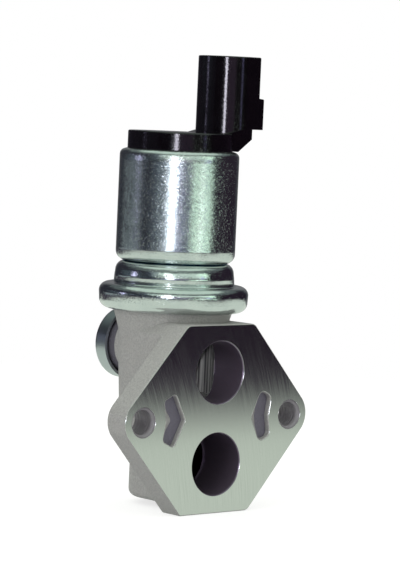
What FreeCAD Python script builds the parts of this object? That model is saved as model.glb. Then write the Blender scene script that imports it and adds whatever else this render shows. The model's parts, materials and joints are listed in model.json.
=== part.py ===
import FreeCAD, Part
import math
import os
import Sketcher

# Idle air control valve.
# The origin is the middle of the mounting flange's face, between its two bolt holes.
# X runs along the bolt holes, Y into the valve, and Z up along the solenoid's axis.

# Driving dimensions in millimetres: alias, value, meaning.
SIZES = (
    ("axis_offset", 22.8, "flange face to the solenoid's axis"),
    ("bolt_spacing", 58.0, "between the bolt holes"),
    ("bolt_radius", 3.7, "bolt hole"),
    ("bolt_chamfer", 0.9, "chamfer at the mouth of a bolt hole"),
    ("flange_thick", 8.5, "flange thickness"),
    ("flange_top", 28.1, "bolt line to the flange's top edge"),
    ("flange_bottom", 28.5, "bolt line to the flange's bottom edge"),
    ("flange_top_half", 13.25, "half of the flange's top edge, to the sharp corner"),
    ("flange_bottom_half", 13.5, "half of the flange's bottom edge, to the sharp corner"),
    ("flange_end_reach", 9.65, "bolt hole to the sharp end of the flange"),
    ("flange_end_round", 7.2, "round at the flange's ends"),
    ("flange_corner", 3.0, "round at the flange's corners"),
    ("flange_sharp_corner", 0.8, "round at the flange's lower left corner"),
    ("flange_back_round", 1.0, "round at the back of the flange's edge"),
    ("face_chamfer", 0.3, "chamfer at every edge of the milled face"),
    ("port_radius", 9.33, "port bore"),
    ("port_height", 13.75, "bolt line to each port's centre"),
    ("upper_port_depth", 13.0, "depth of the upper port's bore"),
    ("lower_port_depth", 16.0, "depth of the lower port's machined bore"),
    ("passage_radius", 8.8, "cast passage behind the lower port"),
    ("left_pocket_bend", 13.05, "left pocket's bend, from the centre"),
    ("left_pocket_notch", 20.3, "left pocket's notch at the face, from the centre"),
    ("left_notch_slope", 3.3, "slope of the left pocket's notch, down to its floor"),
    ("right_pocket_bend", 13.5, "right pocket's bend at the face, from the centre"),
    ("right_bend_slope", 2.6, "slope of the right pocket's bend, down to its floor"),
    ("right_pocket_notch", 20.2, "right pocket's notch, from the centre"),
    ("pocket_tip", 17.1, "inner corner of a pocket's end, from the centre"),
    ("pocket_tip_height", 7.9, "bolt line to the inner corner of a pocket's end"),
    ("pocket_shoulder", 21.2, "outer corner of a pocket's end, from the centre"),
    ("pocket_shoulder_height", 5.9, "bolt line to the outer corner of a pocket's end"),
    ("left_pocket_round", 1.2, "round at the left pocket's corners"),
    ("right_pocket_round", 1.9, "round at the right pocket's corners"),
    ("pocket_depth", 1.8, "depth of a pocket"),
    ("block_bottom", 0.5, "underside of the upper block above the bolt line"),
    ("block_foot_radius", 15.1, "upper block's round back at its underside"),
    ("block_draft", 3.0, "draft of the upper block's walls, in degrees"),
    ("block_round", 1.2, "round under the upper block"),
    ("tail_radius", 11.1, "lower block's round back"),
    ("tail_bottom", 26.6, "bolt line down to the lower block's underside"),
    ("tail_round", 2.4, "round at the lower block's underside"),
    ("collar_radius", 18.0, "collar below the rolled edge"),
    ("collar_round", 7.0, "hollow between the block and the collar"),
    ("collar_height", 30.3, "bolt line to the collar's widest place"),
    ("rim_underside", 31.9, "bolt line to the underside of the casting's rim"),
    ("rim_step", 3.25, "casting's rim beyond the collar"),
    ("rim_gap", 0.3, "round gap between the casting and the rolled edge"),
    ("rim_top", 35.7, "bolt line to the casting's top"),
    ("chamber_radius", 13.3, "upper chamber"),
    ("chamber_floor", 4.9, "bolt line to the upper chamber's floor"),
    ("tail_bore", 9.0, "lower chamber"),
    ("tail_floor", 2.8, "wall under the lower chamber"),
    ("neck_radius", 9.4, "rear neck"),
    ("neck_rim_step", 0.75, "neck's rim beyond the neck"),
    ("neck_rim_length", 1.2, "length of the neck's rim"),
    ("neck_bore", 6.5, "bore in the rear neck"),
    ("cap_drop", 0.5, "collar's widest place down to the rear cap"),
    ("cap_clear", 0.1, "collar's back to the rear cap's edge"),
    ("cap_depth", 5.6, "length of the rear cap"),
    ("cap_sheet", 0.9, "sheet of the rear cap"),
    ("cap_bend", 1.5, "outer bend of the rear cap"),
    ("cap_gasket_thick", 0.8, "gasket under the rear cap"),
    ("seat_radius", 9.7, "outside of the seat ring"),
    ("seat_bore", 6.5, "bore of the seat ring"),
    ("seat_depth", 3.0, "seat ring below the chamber's floor"),
    ("seat_proud", 1.0, "seat ring above the chamber's floor"),
    ("seal_groove_middle", 16.7, "body seal, to the middle of its section"),
    ("seal_section", 1.9, "section of the body seal"),
    ("plate_thick", 1.4, "guide plate"),
    ("hub_radius", 5.6, "hub of the guide plate"),
    ("hub_below", 4.2, "hub below the guide plate's underside"),
    ("hub_above", 1.6, "hub above the guide plate"),
    ("breather_radius", 1.2, "breather hole in the guide plate"),
    ("breather_circle", 9.6, "axis to the breather holes"),
    ("bush_radius", 3.5, "outside of the stem bush"),
    ("bush_flange", 4.7, "flange of the stem bush"),
    ("bush_flange_thick", 1.0, "thickness of the stem bush's flange"),
    ("cup_sheet", 1.3, "sheet of the mounting cup"),
    ("cup_rim_round", 2.6, "round of the cup's rim"),
    ("cup_lip_round", 3.0, "round where the cup's rim is rolled under"),
    ("cup_rim_lean", 0.5, "how far the cup's rim narrows to its rolled edge"),
    ("plate_edge_round", 0.7, "round at the guide plate's edge and over it"),
    ("rim_edge_round", 1.4, "round at the casting's rim and under it"),
    ("drum_foot_lean", 0.06, "how far the drum narrows from its foot to its bend"),
    ("drum_bend_height", 1.8, "cup's rim up to the bend in the drum's wall"),
    ("drum_bend_round", 14.0, "round at the bend in the drum's wall"),
    ("drum_top_lean", 0.6, "how far the drum narrows from its bend to its top"),
    ("drum_round", 3.0, "round at the drum's top"),
    ("drum_foot_round", 0.5, "hollow at the drum's foot"),
    ("drum_height", 8.1, "guide plate to the top of the drum"),
    ("tube_radius", 7.2, "outside of the guide tube"),
    ("tube_sheet", 0.5, "wall of the guide tube"),
    ("tube_flange", 11.0, "flange of the guide tube"),
    ("tube_flange_thick", 1.2, "thickness of the guide tube's flange"),
    ("easy_gap", 0.15, "round gap between parts that are stacked over each other"),
    ("fit_gap", 0.02, "round gap of parts that are pressed together"),
    ("slide_gap", 0.05, "round gap of parts that slide"),
    ("can_radius", 18.1, "outside of the solenoid can"),
    ("can_height", 33.9, "length of the solenoid can"),
    ("can_sheet", 1.2, "sheet of the solenoid can"),
    ("can_foot_round", 3.0, "round at the can's foot"),
    ("can_top_round", 1.8, "round at the can's rolled top"),
    ("can_lip", 2.0, "how far the can's top is rolled in"),
    ("can_lip_rise", 0.6, "how far the rolled lip rises to its edge"),
    ("washer_thick", 3.0, "flux washers"),
    ("bobbin_wall", 1.2, "tube of the coil bobbin"),
    ("bobbin_cheek", 1.6, "cheeks of the coil bobbin"),
    ("bobbin_gap", 1.0, "round gap between the coil bobbin and the can"),
    ("winding_drop", 0.9, "winding below the edge of the bobbin's cheeks"),
    ("spigot_radius", 5.0, "top end of the pole core"),
    ("core_bore", 2.9, "bore for the spring"),
    ("shim_thick", 0.3, "shim under the pole core"),
    ("screw_length", 4.9, "preload screw"),
    ("slot_wide", 0.8, "slot of the preload screw"),
    ("slot_deep", 1.2, "depth of the preload screw's slot"),
    ("armature_drop", 0.6, "armature below the can's foot"),
    ("armature_length", 14.9, "armature"),
    ("armature_pocket", 6.0, "spring pocket in the armature"),
    ("armature_slot_wide", 1.2, "bleed slots of the armature"),
    ("armature_slot_deep", 0.8, "depth of the bleed slots"),
    ("stem_grip", 7.0, "stem inside the armature"),
    ("stem_radius", 2.0, "valve stem"),
    ("stem_tip_radius", 1.5, "stem where it carries the poppet"),
    ("stem_tail", 3.0, "stem below the poppet"),
    ("lift_gap", 0.05, "between poppet and seat when shut"),
    ("travel", 4.0, "stroke of the valve"),
    ("stop_gap", 0.1, "left between armature and shim at full stroke"),
    ("poppet_radius", 7.9, "poppet's plate"),
    ("poppet_thick", 2.5, "thickness of the poppet's plate"),
    ("poppet_hub", 4.0, "radius and height of the poppet's hub"),
    ("plug_gap", 0.35, "poppet's plug to the seat's bore"),
    ("plug_length", 5.4, "length of the poppet's plug"),
    ("plug_tip", 4.6, "radius at the end of the poppet's plug"),
    ("seal_ring_wide", 1.2, "width of the poppet's seal"),
    ("seal_ring_thick", 1.0, "thickness of the poppet's seal"),
    ("clip_radius", 3.3, "outside of the poppet's clip"),
    ("clip_thick", 0.7, "thickness of the poppet's clip"),
    ("clip_groove", 0.3, "depth of the clip's groove"),
    ("clip_mouth", 2.0, "mouth of the poppet's clip"),
    ("wire", 0.6, "wire of the return spring"),
    ("spring_radius", 2.3, "return spring, to the middle of its wire"),
    ("spring_turns", 6.5, "turns of the return spring"),
    ("cover_gap", 0.23, "round gap between the cover disc and the can's rolled top"),
    ("cover_height", 5.4, "cover disc above the can"),
    ("cover_edge", 0.5, "round at the cover's upper edge"),
    ("cover_flange", 2.5, "cover's flange inside the can"),
    ("cover_seal_section", 1.1, "section of the cover's seal"),
    ("shell_offset", 18.2, "solenoid's axis to the middle of the shell's round side"),
    ("shell_radius", 9.26, "round side of the connector shell"),
    ("shell_reach", 5.0, "middle of the round side to the flat side"),
    ("shell_height", 23.5, "cover disc to the connector's mouth"),
    ("shell_foot", 1.5, "cover disc to the foot of the shell's flat side"),
    ("shell_wall", 1.6, "wall of the connector shell"),
    ("shell_edge", 0.35, "round at the shell's edges"),
    ("socket_depth", 16.5, "depth of the connector's socket"),
    ("arm_reach", 20.8, "solenoid's axis to the outside of the arm"),
    ("arm_slope_height", 3.9, "can's top to the arm's bend"),
    ("arm_slope_start", 15.4, "solenoid's axis to the foot of the arm's slope"),
    ("ledge_reach", 25.1, "solenoid's axis to the outside of the latch ledge"),
    ("ledge_height", 9.8, "latch ledge, foot to top"),
    ("ledge_slope", 0.5, "fall of the ledge's top"),
    ("blade_pitch", 5.0, "between the connector's blades"),
    ("blade_wide", 2.4, "width of a blade"),
    ("blade_thick", 0.8, "thickness of a blade"),
    ("blade_offset", 15.6, "solenoid's axis to a blade in the socket"),
    ("blade_foot_offset", 12.1, "solenoid's axis to a blade's foot"),
    ("blade_bend_height", 3.2, "can's top to a blade's bend"),
    ("blade_reach", 10.5, "blade above the socket's floor"),
    ("notch_gap", 0.8, "round a blade where it passes the upper flux washer"),
    ("spare", 1.0, "how far a cut runs past the surface that it opens"),
)
BREATHER_COUNT = 4
BLEED_SLOT_COUNT = 4
FULL_TURN = 360
SAME_PLACE = 0.01


class Size:
    """A length that knows its value and the sheet's expression for it."""

    def __init__(self, value, text):
        self.value = value
        self.text = text

    def join(self, other, sign, value):
        return Size(value, "(" + self.text + " " + sign + " " + size(other).text + ")")

    def __add__(self, other):
        return self.join(other, "+", self.value + size(other).value)

    def __sub__(self, other):
        return self.join(other, "-", self.value - size(other).value)

    def __mul__(self, other):
        return self.join(other, "*", self.value * size(other).value)

    def __truediv__(self, other):
        return self.join(other, "/", self.value / size(other).value)

    def __neg__(self):
        return size(0) - self


def size(number):
    """A Size as it is, or a plain number as a Size."""
    return number if isinstance(number, Size) else Size(float(number), str(number))


def tangent_of(angle):
    """Tangent of an angle in degrees, as a Size."""
    return Size(math.tan(math.radians(angle.value)), "tan(" + angle.text + " * 1deg)")


doc = FreeCAD.newDocument("idle_air_control_valve")
sheet = doc.addObject("Spreadsheet::Sheet", "sizes")
for row, (alias, number, meaning) in enumerate(SIZES, 1):
    sheet.set("A" + str(row), meaning)
    sheet.set("B" + str(row), str(number))
    sheet.setAlias("B" + str(row), alias)
doc.recompute()


class Dimensions:
    """Every driving dimension of the sheet, by its alias."""

    def __getattr__(self, alias):
        return Size(float(getattr(sheet, alias)), "sizes." + alias)


d = Dimensions()

# Heights above the bolt line, from the chamber's floor up to the connector's mouth.
seat_top = d.chamber_floor + d.seat_proud
seat_foot = d.chamber_floor - d.seat_depth
plate_top = d.rim_top + d.plate_thick
cup_top = plate_top + d.drum_height
can_floor = cup_top + d.can_sheet
can_top = cup_top + d.can_height
lower_washer_top = can_floor + d.washer_thick
cover_foot = can_top - d.can_sheet - d.cover_flange
bobbin_top = cover_foot - d.washer_thick
cover_top = can_top + d.cover_height
shell_top = cover_top + d.shell_height
shell_foot = cover_top + d.shell_foot
socket_floor = shell_top - d.socket_depth
armature_foot = cup_top - d.armature_drop
armature_top = armature_foot + d.armature_length
shim_foot = armature_top + d.travel + d.stop_gap
core_foot = shim_foot + d.shim_thick
spring_foot = armature_top - d.armature_pocket
screw_foot = cover_foot - d.screw_length
poppet_foot = seat_top + d.lift_gap
poppet_plate_top = poppet_foot + d.poppet_thick
poppet_top = poppet_plate_top + d.poppet_hub
plug_foot = poppet_foot - d.plug_length
clip_foot = plug_foot - d.clip_thick
stem_foot = plug_foot - d.stem_tail

# Radii that several pieces share.
rim_radius = d.collar_radius + d.rim_step
cup_rim_radius = rim_radius + d.rim_gap + d.cup_sheet
cup_lip_radius = d.collar_radius + d.rim_gap
drum_bend_radius = cup_lip_radius - d.drum_foot_lean
drum_top_radius = drum_bend_radius - d.drum_top_lean
neck_rim_radius = d.neck_radius + d.neck_rim_step
cap_radius = neck_rim_radius + d.slide_gap + d.cap_sheet
tube_hole = d.tube_radius + d.easy_gap
tube_bore = d.tube_radius - d.tube_sheet
can_inside = d.can_radius - d.can_sheet
can_mouth = d.can_radius - d.can_lip
stacked_radius = can_inside - d.easy_gap
lip_slope = d.can_lip_rise / d.can_lip
bobbin_radius = can_inside - d.bobbin_gap
cover_radius = can_mouth - d.cover_gap

# The rear neck and its cap, along Y and up.
cap_foot = d.axis_offset + d.collar_radius + d.cap_clear
neck_end = cap_foot + d.cap_depth - d.cap_sheet - d.cap_gasket_thick
neck_rim_start = neck_end - d.neck_rim_length
neck_height = d.collar_height - d.cap_drop - cap_radius

bodies = []


def point(x, y):
    """A place on a sketch."""
    return FreeCAD.Vector(x, y, 0)


def new_body(name, offset_y=None):
    """A new piece, moved to its place along Y."""
    body = doc.addObject("PartDesign::Body", name)
    body.Label = name
    if offset_y is not None:
        body.setExpression("Placement.Base.y", offset_y.text)
    bodies.append(body)
    return body


def new_sketch(body, name, role="XZ_Plane", lift=None):
    """A sketch on one of the piece's own planes, lifted along the plane's normal."""
    sketch = body.newObject("Sketcher::SketchObject", name)
    planes = [feature for feature in body.Origin.OriginFeatures if feature.Role == role]
    sketch.AttachmentSupport = [(planes[0], "")]
    sketch.MapMode = "FlatFace"
    if lift is not None:
        sketch.setExpression("AttachmentOffset.Base.z", lift.text)
    return sketch


def measure(sketch, kind, *where, length):
    """A dimension of a sketch, bound to the sheet."""
    index = sketch.addConstraint(Sketcher.Constraint(kind, *where, length.value))
    sketch.setExpression("Constraints[" + str(index) + "]", length.text)


def pin(sketch, geometry, end, x, y):
    """Places one point of a sketch."""
    for kind, axis, place in (("DistanceX", -2, size(x)), ("DistanceY", -1, size(y))):
        if place.text in ("0", "0.0"):
            sketch.addConstraint(Sketcher.Constraint("PointOnObject", geometry, end, axis))
        else:
            measure(sketch, kind, geometry, end, length=place)


def circle(sketch, x, y, radius):
    """A circle of a radius about a place of the sketch."""
    index = sketch.addGeometry(
        Part.Circle(point(size(x).value, size(y).value), FreeCAD.Vector(0, 0, 1), radius.value), False)
    measure(sketch, "Radius", index, length=radius)
    pin(sketch, index, 3, x, y)


def rounded_corner(before, corner, after, radius):
    """Ends and centre of the arc that rounds a corner, and whether it turns left."""
    to_before = (before - corner).normalize()
    to_after = (after - corner).normalize()
    half = to_before.getAngle(to_after) / 2
    reach = radius / math.tan(half)
    centre = corner + (to_before + to_after).normalize() * (radius / math.sin(half))
    turns_left = to_before.cross(to_after).z < 0
    return corner + to_before * reach, corner + to_after * reach, centre, turns_left


def outline(sketch, corners):
    """Closed outline through corners (x, y) or, where one is rounded, (x, y, radius)."""
    count = len(corners)
    sharp = [point(size(corner[0]).value, size(corner[1]).value) for corner in corners]
    ends = []
    for index, corner in enumerate(corners):
        if len(corner) == 2:
            ends.append((sharp[index], sharp[index], None, None))
        else:
            around = (sharp[index - 1], sharp[index], sharp[(index + 1) % count])
            ends.append(rounded_corner(*around, size(corner[2]).value))
    first = sketch.GeometryCount
    for index in range(count):
        segment = Part.LineSegment(ends[index][1], ends[(index + 1) % count][0])
        sketch.addGeometry(segment, False)
    for index, corner in enumerate(corners):
        line_in = first + (index - 1) % count
        line_out = first + index
        if len(corner) == 2:
            sketch.addConstraint(Sketcher.Constraint("Coincident", line_in, 2, line_out, 1))
            pin(sketch, line_out, 1, corner[0], corner[1])
            continue
        start, stop, centre, turns_left = ends[index]
        radius = size(corner[2])
        if not turns_left:
            start, stop = stop, start
        angles = [math.atan2(place.y - centre.y, place.x - centre.x) for place in (start, stop)]
        full = Part.Circle(centre, FreeCAD.Vector(0, 0, 1), radius.value)
        arc = sketch.addGeometry(Part.ArcOfCircle(full, *angles), False)
        arc_in, arc_out = (1, 2) if turns_left else (2, 1)
        sketch.addConstraint(Sketcher.Constraint("Tangent", line_in, 2, arc, arc_in))
        sketch.addConstraint(Sketcher.Constraint("Tangent", arc, arc_out, line_out, 1))
        measure(sketch, "Radius", arc, length=radius)
        mark = sketch.addGeometry(Part.Point(sharp[index]), True)
        sketch.addConstraint(Sketcher.Constraint("PointOnObject", mark, 1, line_in))
        sketch.addConstraint(Sketcher.Constraint("PointOnObject", mark, 1, line_out))
        pin(sketch, mark, 1, corner[0], corner[1])


def round_backed(sketch, front, centre, radius):
    """Outline with straight sides from a front line and a half-round back."""
    x, near, middle = radius.value, front.value, centre.value
    back = Part.Circle(point(0, middle), FreeCAD.Vector(0, 0, 1), x)
    sketch.addGeometry(Part.LineSegment(point(-x, near), point(x, near)), False)
    sketch.addGeometry(Part.LineSegment(point(x, near), point(x, middle)), False)
    sketch.addGeometry(Part.ArcOfCircle(back, 0, math.pi), False)
    sketch.addGeometry(Part.LineSegment(point(-x, middle), point(-x, near)), False)
    sketch.addConstraint(Sketcher.Constraint("Coincident", 0, 2, 1, 1))
    sketch.addConstraint(Sketcher.Constraint("Coincident", 3, 2, 0, 1))
    sketch.addConstraint(Sketcher.Constraint("Tangent", 1, 2, 2, 1))
    sketch.addConstraint(Sketcher.Constraint("Tangent", 2, 2, 3, 1))
    sketch.addConstraint(Sketcher.Constraint("Horizontal", 0))
    sketch.addConstraint(Sketcher.Constraint("Vertical", 1))
    sketch.addConstraint(Sketcher.Constraint("Vertical", 3))
    measure(sketch, "Radius", 2, length=radius)
    pin(sketch, 2, 3, 0, centre)
    measure(sketch, "DistanceY", 0, 1, length=front)


def feature(body, kind, name, sketch, **options):
    """A feature made from a sketch, its sizes bound to the sheet."""
    made = body.newObject("PartDesign::" + kind, name)
    made.Profile = sketch
    for option, value in options.items():
        if isinstance(value, Size):
            made.setExpression(option, value.text)
        else:
            setattr(made, option, value)
    sketch.Visibility = False
    return made


def turned(body, kind, name, sketch):
    """A full turn of a sketch round its own upright axis."""
    return feature(body, kind, name, sketch, ReferenceAxis=(sketch, ["V_Axis"]), Angle=FULL_TURN)


def turned_piece(name, corners):
    """A piece that is one profile turned about the solenoid's axis."""
    body = new_body(name, d.axis_offset)
    profile = new_sketch(body, name + "_profile")
    outline(profile, corners)
    turned(body, "Revolution", name + "_turned", profile)
    return body


def ring(name, inner, outer, foot, top):
    """A plain turned ring."""
    return turned_piece(name, [(inner, foot), (outer, foot), (outer, top), (inner, top)])


def seal(name, middle, section, height):
    """A ring of round section."""
    body = new_body(name, d.axis_offset)
    profile = new_sketch(body, name + "_profile")
    circle(profile, middle, height, section / 2)
    turned(body, "Revolution", name + "_turned", profile)
    return body


def edges_where(base, test):
    """Names of a feature's edges whose boxes pass the test."""
    doc.recompute()
    return ["Edge" + str(number) for number, edge in enumerate(base.Shape.Edges, 1) if test(edge.BoundBox)]


def near(value, wanted):
    """Whether a measure is the wanted size."""
    return abs(value - wanted.value) < SAME_PLACE


def dress(body, kind, name, base, length, test):
    """A fillet or chamfer on every edge that passes the test."""
    made = body.newObject("PartDesign::" + kind, name)
    made.Base = (base, edges_where(base, test))
    made.setExpression("Radius" if kind == "Fillet" else "Size", length.text)
    doc.recompute()
    return made


def cut_pocket(body, word, side, bends, notches, corner_round):
    """A bent pocket, its bend and notch given at the face and at its floor."""
    levels = []
    for level, bend, notch in zip(("rim", "floor"), bends, notches):
        lift = None if level == "rim" else -d.pocket_depth
        sketch = new_sketch(body, word + "_pocket_" + level, lift=lift)
        places = [
            (bend, size(0)),
            (d.pocket_tip, d.pocket_tip_height),
            (d.pocket_shoulder, d.pocket_shoulder_height),
            (notch, size(0)),
            (d.pocket_shoulder, -d.pocket_shoulder_height),
            (d.pocket_tip, -d.pocket_tip_height),
        ]
        outline(sketch, [(x * side, height, corner_round) for x, height in places])
        levels.append(sketch)
    feature(body, "SubtractiveLoft", word + "_pocket", levels[0], Sections=[levels[1]], Ruled=True)


def block_half_at(height):
    """Half the width of the upper block at a height, out along its draft."""
    return d.block_foot_radius + (height - d.block_bottom) * tangent_of(d.block_draft)


def shoulder_height():
    """Height at which the flange's slanted edge meets the upper block's drafted side."""
    flange_half = d.bolt_spacing / 2 + d.flange_end_reach
    slope = d.flange_top / (flange_half - d.flange_top_half)
    lean = tangent_of(d.block_draft)
    overhang = d.block_foot_radius - d.block_bottom * lean - d.flange_top_half
    return (d.flange_top - overhang * slope) / (slope * lean + 1)


def add_blocks(body):
    """The lower and upper block: straight sides behind the flange and a round back."""
    hidden_front = d.flange_thick / 2
    tail = new_sketch(body, "tail_outline", "XY_Plane", -d.tail_bottom)
    round_backed(tail, hidden_front, d.axis_offset, d.tail_radius)
    tail_pad = feature(body, "Pad", "tail", tail, Length=d.tail_bottom + d.block_bottom)
    dress(body, "Fillet", "tail_rounds", tail_pad, d.tail_round,
          lambda box: near(box.ZMax, -d.tail_bottom) and box.YMax > d.flange_thick.value)
    shoulder = shoulder_height()
    block = new_sketch(body, "block_outline", "XY_Plane", d.block_bottom)
    round_backed(block, hidden_front, d.axis_offset, d.block_foot_radius)
    block_tall = shoulder - d.block_bottom
    block_pad = feature(body, "Pad", "block", block, Length=block_tall, TaperAngle=d.block_draft)
    dress(body, "Fillet", "block_rounds", block_pad, d.block_round,
          lambda box: near(box.ZMax, d.block_bottom) and near(box.ZMin, d.block_bottom)
          and box.XMax - box.XMin > 2 * d.tail_radius.value + d.block_round.value)
    shoulder_half = block_half_at(shoulder)
    bridge = new_sketch(body, "bridge_outline")
    outline(bridge, [
        (-shoulder_half, shoulder),
        (shoulder_half, shoulder),
        (d.flange_top_half, d.flange_top, d.flange_corner),
        (-d.flange_top_half, d.flange_top, d.flange_corner),
    ])
    feature(body, "Pad", "bridge", bridge, Length=d.axis_offset, Reversed=True)


def add_collar(body):
    """The round collar and the rim that the cup's edge is rolled round."""
    shoulder = shoulder_height()
    collar = new_sketch(body, "collar_profile", lift=-d.axis_offset)
    outline(collar, [
        (0, d.chamber_floor),
        (d.chamber_radius, d.chamber_floor),
        (block_half_at(shoulder), shoulder, d.collar_round),
        (d.collar_radius, d.collar_height),
        (d.collar_radius, d.rim_underside),
        (rim_radius, d.rim_underside, d.rim_edge_round),
        (rim_radius, d.rim_top),
        (0, d.rim_top),
    ])
    turned(body, "Revolution", "collar", collar)


def add_neck(body):
    """The rear neck with the rim that the cap is pressed on."""
    neck = new_sketch(body, "neck_outline", lift=-d.axis_offset)
    circle(neck, 0, neck_height, d.neck_radius)
    feature(body, "Pad", "neck", neck, Length=neck_end - d.axis_offset, Reversed=True)
    rim = new_sketch(body, "neck_rim_outline", lift=-neck_rim_start)
    circle(rim, 0, neck_height, neck_rim_radius)
    feature(body, "Pad", "neck_rim", rim, Length=neck_end - neck_rim_start, Reversed=True)


def add_flange(body):
    """The flange, a six-sided plate with rounded corners."""
    flange = new_sketch(body, "flange_outline")
    half_width = d.bolt_spacing / 2 + d.flange_end_reach
    outline(flange, [
        (-d.flange_bottom_half, -d.flange_bottom, d.flange_sharp_corner),
        (d.flange_bottom_half, -d.flange_bottom, d.flange_corner),
        (half_width, 0, d.flange_end_round),
        (d.flange_top_half, d.flange_top, d.flange_corner),
        (-d.flange_top_half, d.flange_top, d.flange_corner),
        (-half_width, 0, d.flange_end_round),
    ])
    pad = feature(body, "Pad", "flange", flange, Length=d.flange_thick, Reversed=True)
    dress(body, "Fillet", "flange_back_rounds", pad, d.flange_back_round,
          lambda box: near(box.YMin, d.flange_thick) and near(box.YMax, d.flange_thick)
          and abs(box.Center.x) > d.block_foot_radius.value)


def bore_chambers(body):
    """The seal's groove, the chambers and the seat's recess, bored from the top."""
    top = d.rim_top + d.spare
    half_section = d.seal_section / 2
    groove_foot = d.rim_top - d.seal_section
    bores = new_sketch(body, "chamber_profile", lift=-d.axis_offset)
    outline(bores, [
        (0, d.tail_floor - d.tail_bottom),
        (d.tail_bore, d.tail_floor - d.tail_bottom),
        (d.tail_bore, seat_foot),
        (d.seat_radius + d.fit_gap, seat_foot),
        (d.seat_radius + d.fit_gap, d.chamber_floor),
        (d.chamber_radius, d.chamber_floor),
        (d.chamber_radius, top),
        (0, top),
    ])
    turned(body, "Groove", "chambers", bores)
    channel = new_sketch(body, "seal_channel_profile", lift=-d.axis_offset)
    inner = d.seal_groove_middle - half_section - d.easy_gap
    outer = d.seal_groove_middle + half_section + d.easy_gap
    outline(channel, [(inner, groove_foot), (outer, groove_foot), (outer, top), (inner, top)])
    turned(body, "Groove", "seal_channel", channel)


def cut_round(body, name, x, height, radius, depth, lift=None):
    """A round hole along Y, from the flange's face or from a lifted plane."""
    mouth = new_sketch(body, name + "_outline", lift=lift)
    circle(mouth, x, height, radius)
    return feature(body, "Pocket", name, mouth, Length=depth)


def cut_face(body):
    """Everything that opens in the flange's face."""
    cut_round(body, "upper_port", 0, d.port_height, d.port_radius, d.upper_port_depth)
    cut_round(body, "lower_port", 0, -d.port_height, d.port_radius, d.lower_port_depth)
    cut_round(body, "lower_passage", 0, -d.port_height, d.passage_radius, d.axis_offset)
    left_floor = d.left_pocket_notch - d.left_notch_slope
    right_floor = d.right_pocket_bend + d.right_bend_slope
    cut_pocket(body, "left", -1, (d.left_pocket_bend, d.left_pocket_bend), (d.left_pocket_notch, left_floor),
               d.left_pocket_round)
    cut_pocket(body, "right", 1, (d.right_pocket_bend, right_floor),
               (d.right_pocket_notch, d.right_pocket_notch), d.right_pocket_round)
    for side, word in ((-1, "left"), (1, "right")):
        across = d.bolt_spacing / 2 * side
        last = cut_round(body, word + "_bolt_hole", across, 0, d.bolt_radius, d.flange_thick)
    last = dress(body, "Chamfer", "bolt_chamfers", last, d.bolt_chamfer,
                 lambda box: near(box.YMax, size(0)) and is_bolt_mouth(box, d.bolt_radius))
    dress(body, "Chamfer", "face_chamfers", last, d.face_chamfer,
          lambda box: near(box.YMax, size(0)) and not is_bolt_mouth(box, d.bolt_radius + d.bolt_chamfer))


def is_bolt_mouth(box, radius):
    """Whether an edge is the mouth of a bolt hole."""
    across = abs(abs(box.Center.x) - d.bolt_spacing.value / 2)
    return across < SAME_PLACE and near(box.XMax - box.XMin, radius * 2)


def make_valve_body():
    """The casting: flange, blocks, collar and neck, then its machined bores."""
    body = new_body("valve_body")
    add_blocks(body)
    add_collar(body)
    add_neck(body)
    add_flange(body)
    bore_chambers(body)
    neck_long = neck_end - d.axis_offset
    cut_round(body, "neck_bore", 0, neck_height, d.neck_bore, neck_long, lift=-d.axis_offset)
    cut_face(body)


def make_seat():
    """The ring that the poppet shuts on."""
    ring("seat_ring", d.seat_bore, d.seat_radius, seat_foot, seat_top)


def make_rear_cap():
    """The pressed cap on the rear neck and its gasket, built upright and laid back along Y."""
    inside = cap_radius - d.cap_sheet
    cap = new_body("rear_cap")
    profile = new_sketch(cap, "rear_cap_profile", "XZ_Plane")
    outline(profile, [
        (0, d.cap_depth - d.cap_sheet),
        (inside, d.cap_depth - d.cap_sheet, d.cap_bend - d.cap_sheet),
        (inside, 0),
        (cap_radius, 0),
        (cap_radius, d.cap_depth, d.cap_bend),
        (0, d.cap_depth),
    ])
    turned(cap, "Revolution", "rear_cap_turned", profile)
    gasket = new_body("cap_gasket")
    section = new_sketch(gasket, "cap_gasket_profile")
    gasket_radius = inside - d.cap_bend + d.cap_sheet
    thick = d.cap_gasket_thick
    outline(section, [(d.neck_bore, 0), (gasket_radius, 0), (gasket_radius, thick), (d.neck_bore, thick)])
    turned(gasket, "Revolution", "cap_gasket_turned", section)
    for body, along in ((cap, cap_foot), (gasket, neck_end)):
        body.Placement = FreeCAD.Placement(FreeCAD.Vector(), FreeCAD.Rotation(FreeCAD.Vector(1, 0, 0), -90))
        body.setExpression("Placement.Base.y", along.text)
        body.setExpression("Placement.Base.z", neck_height.text)


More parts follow.
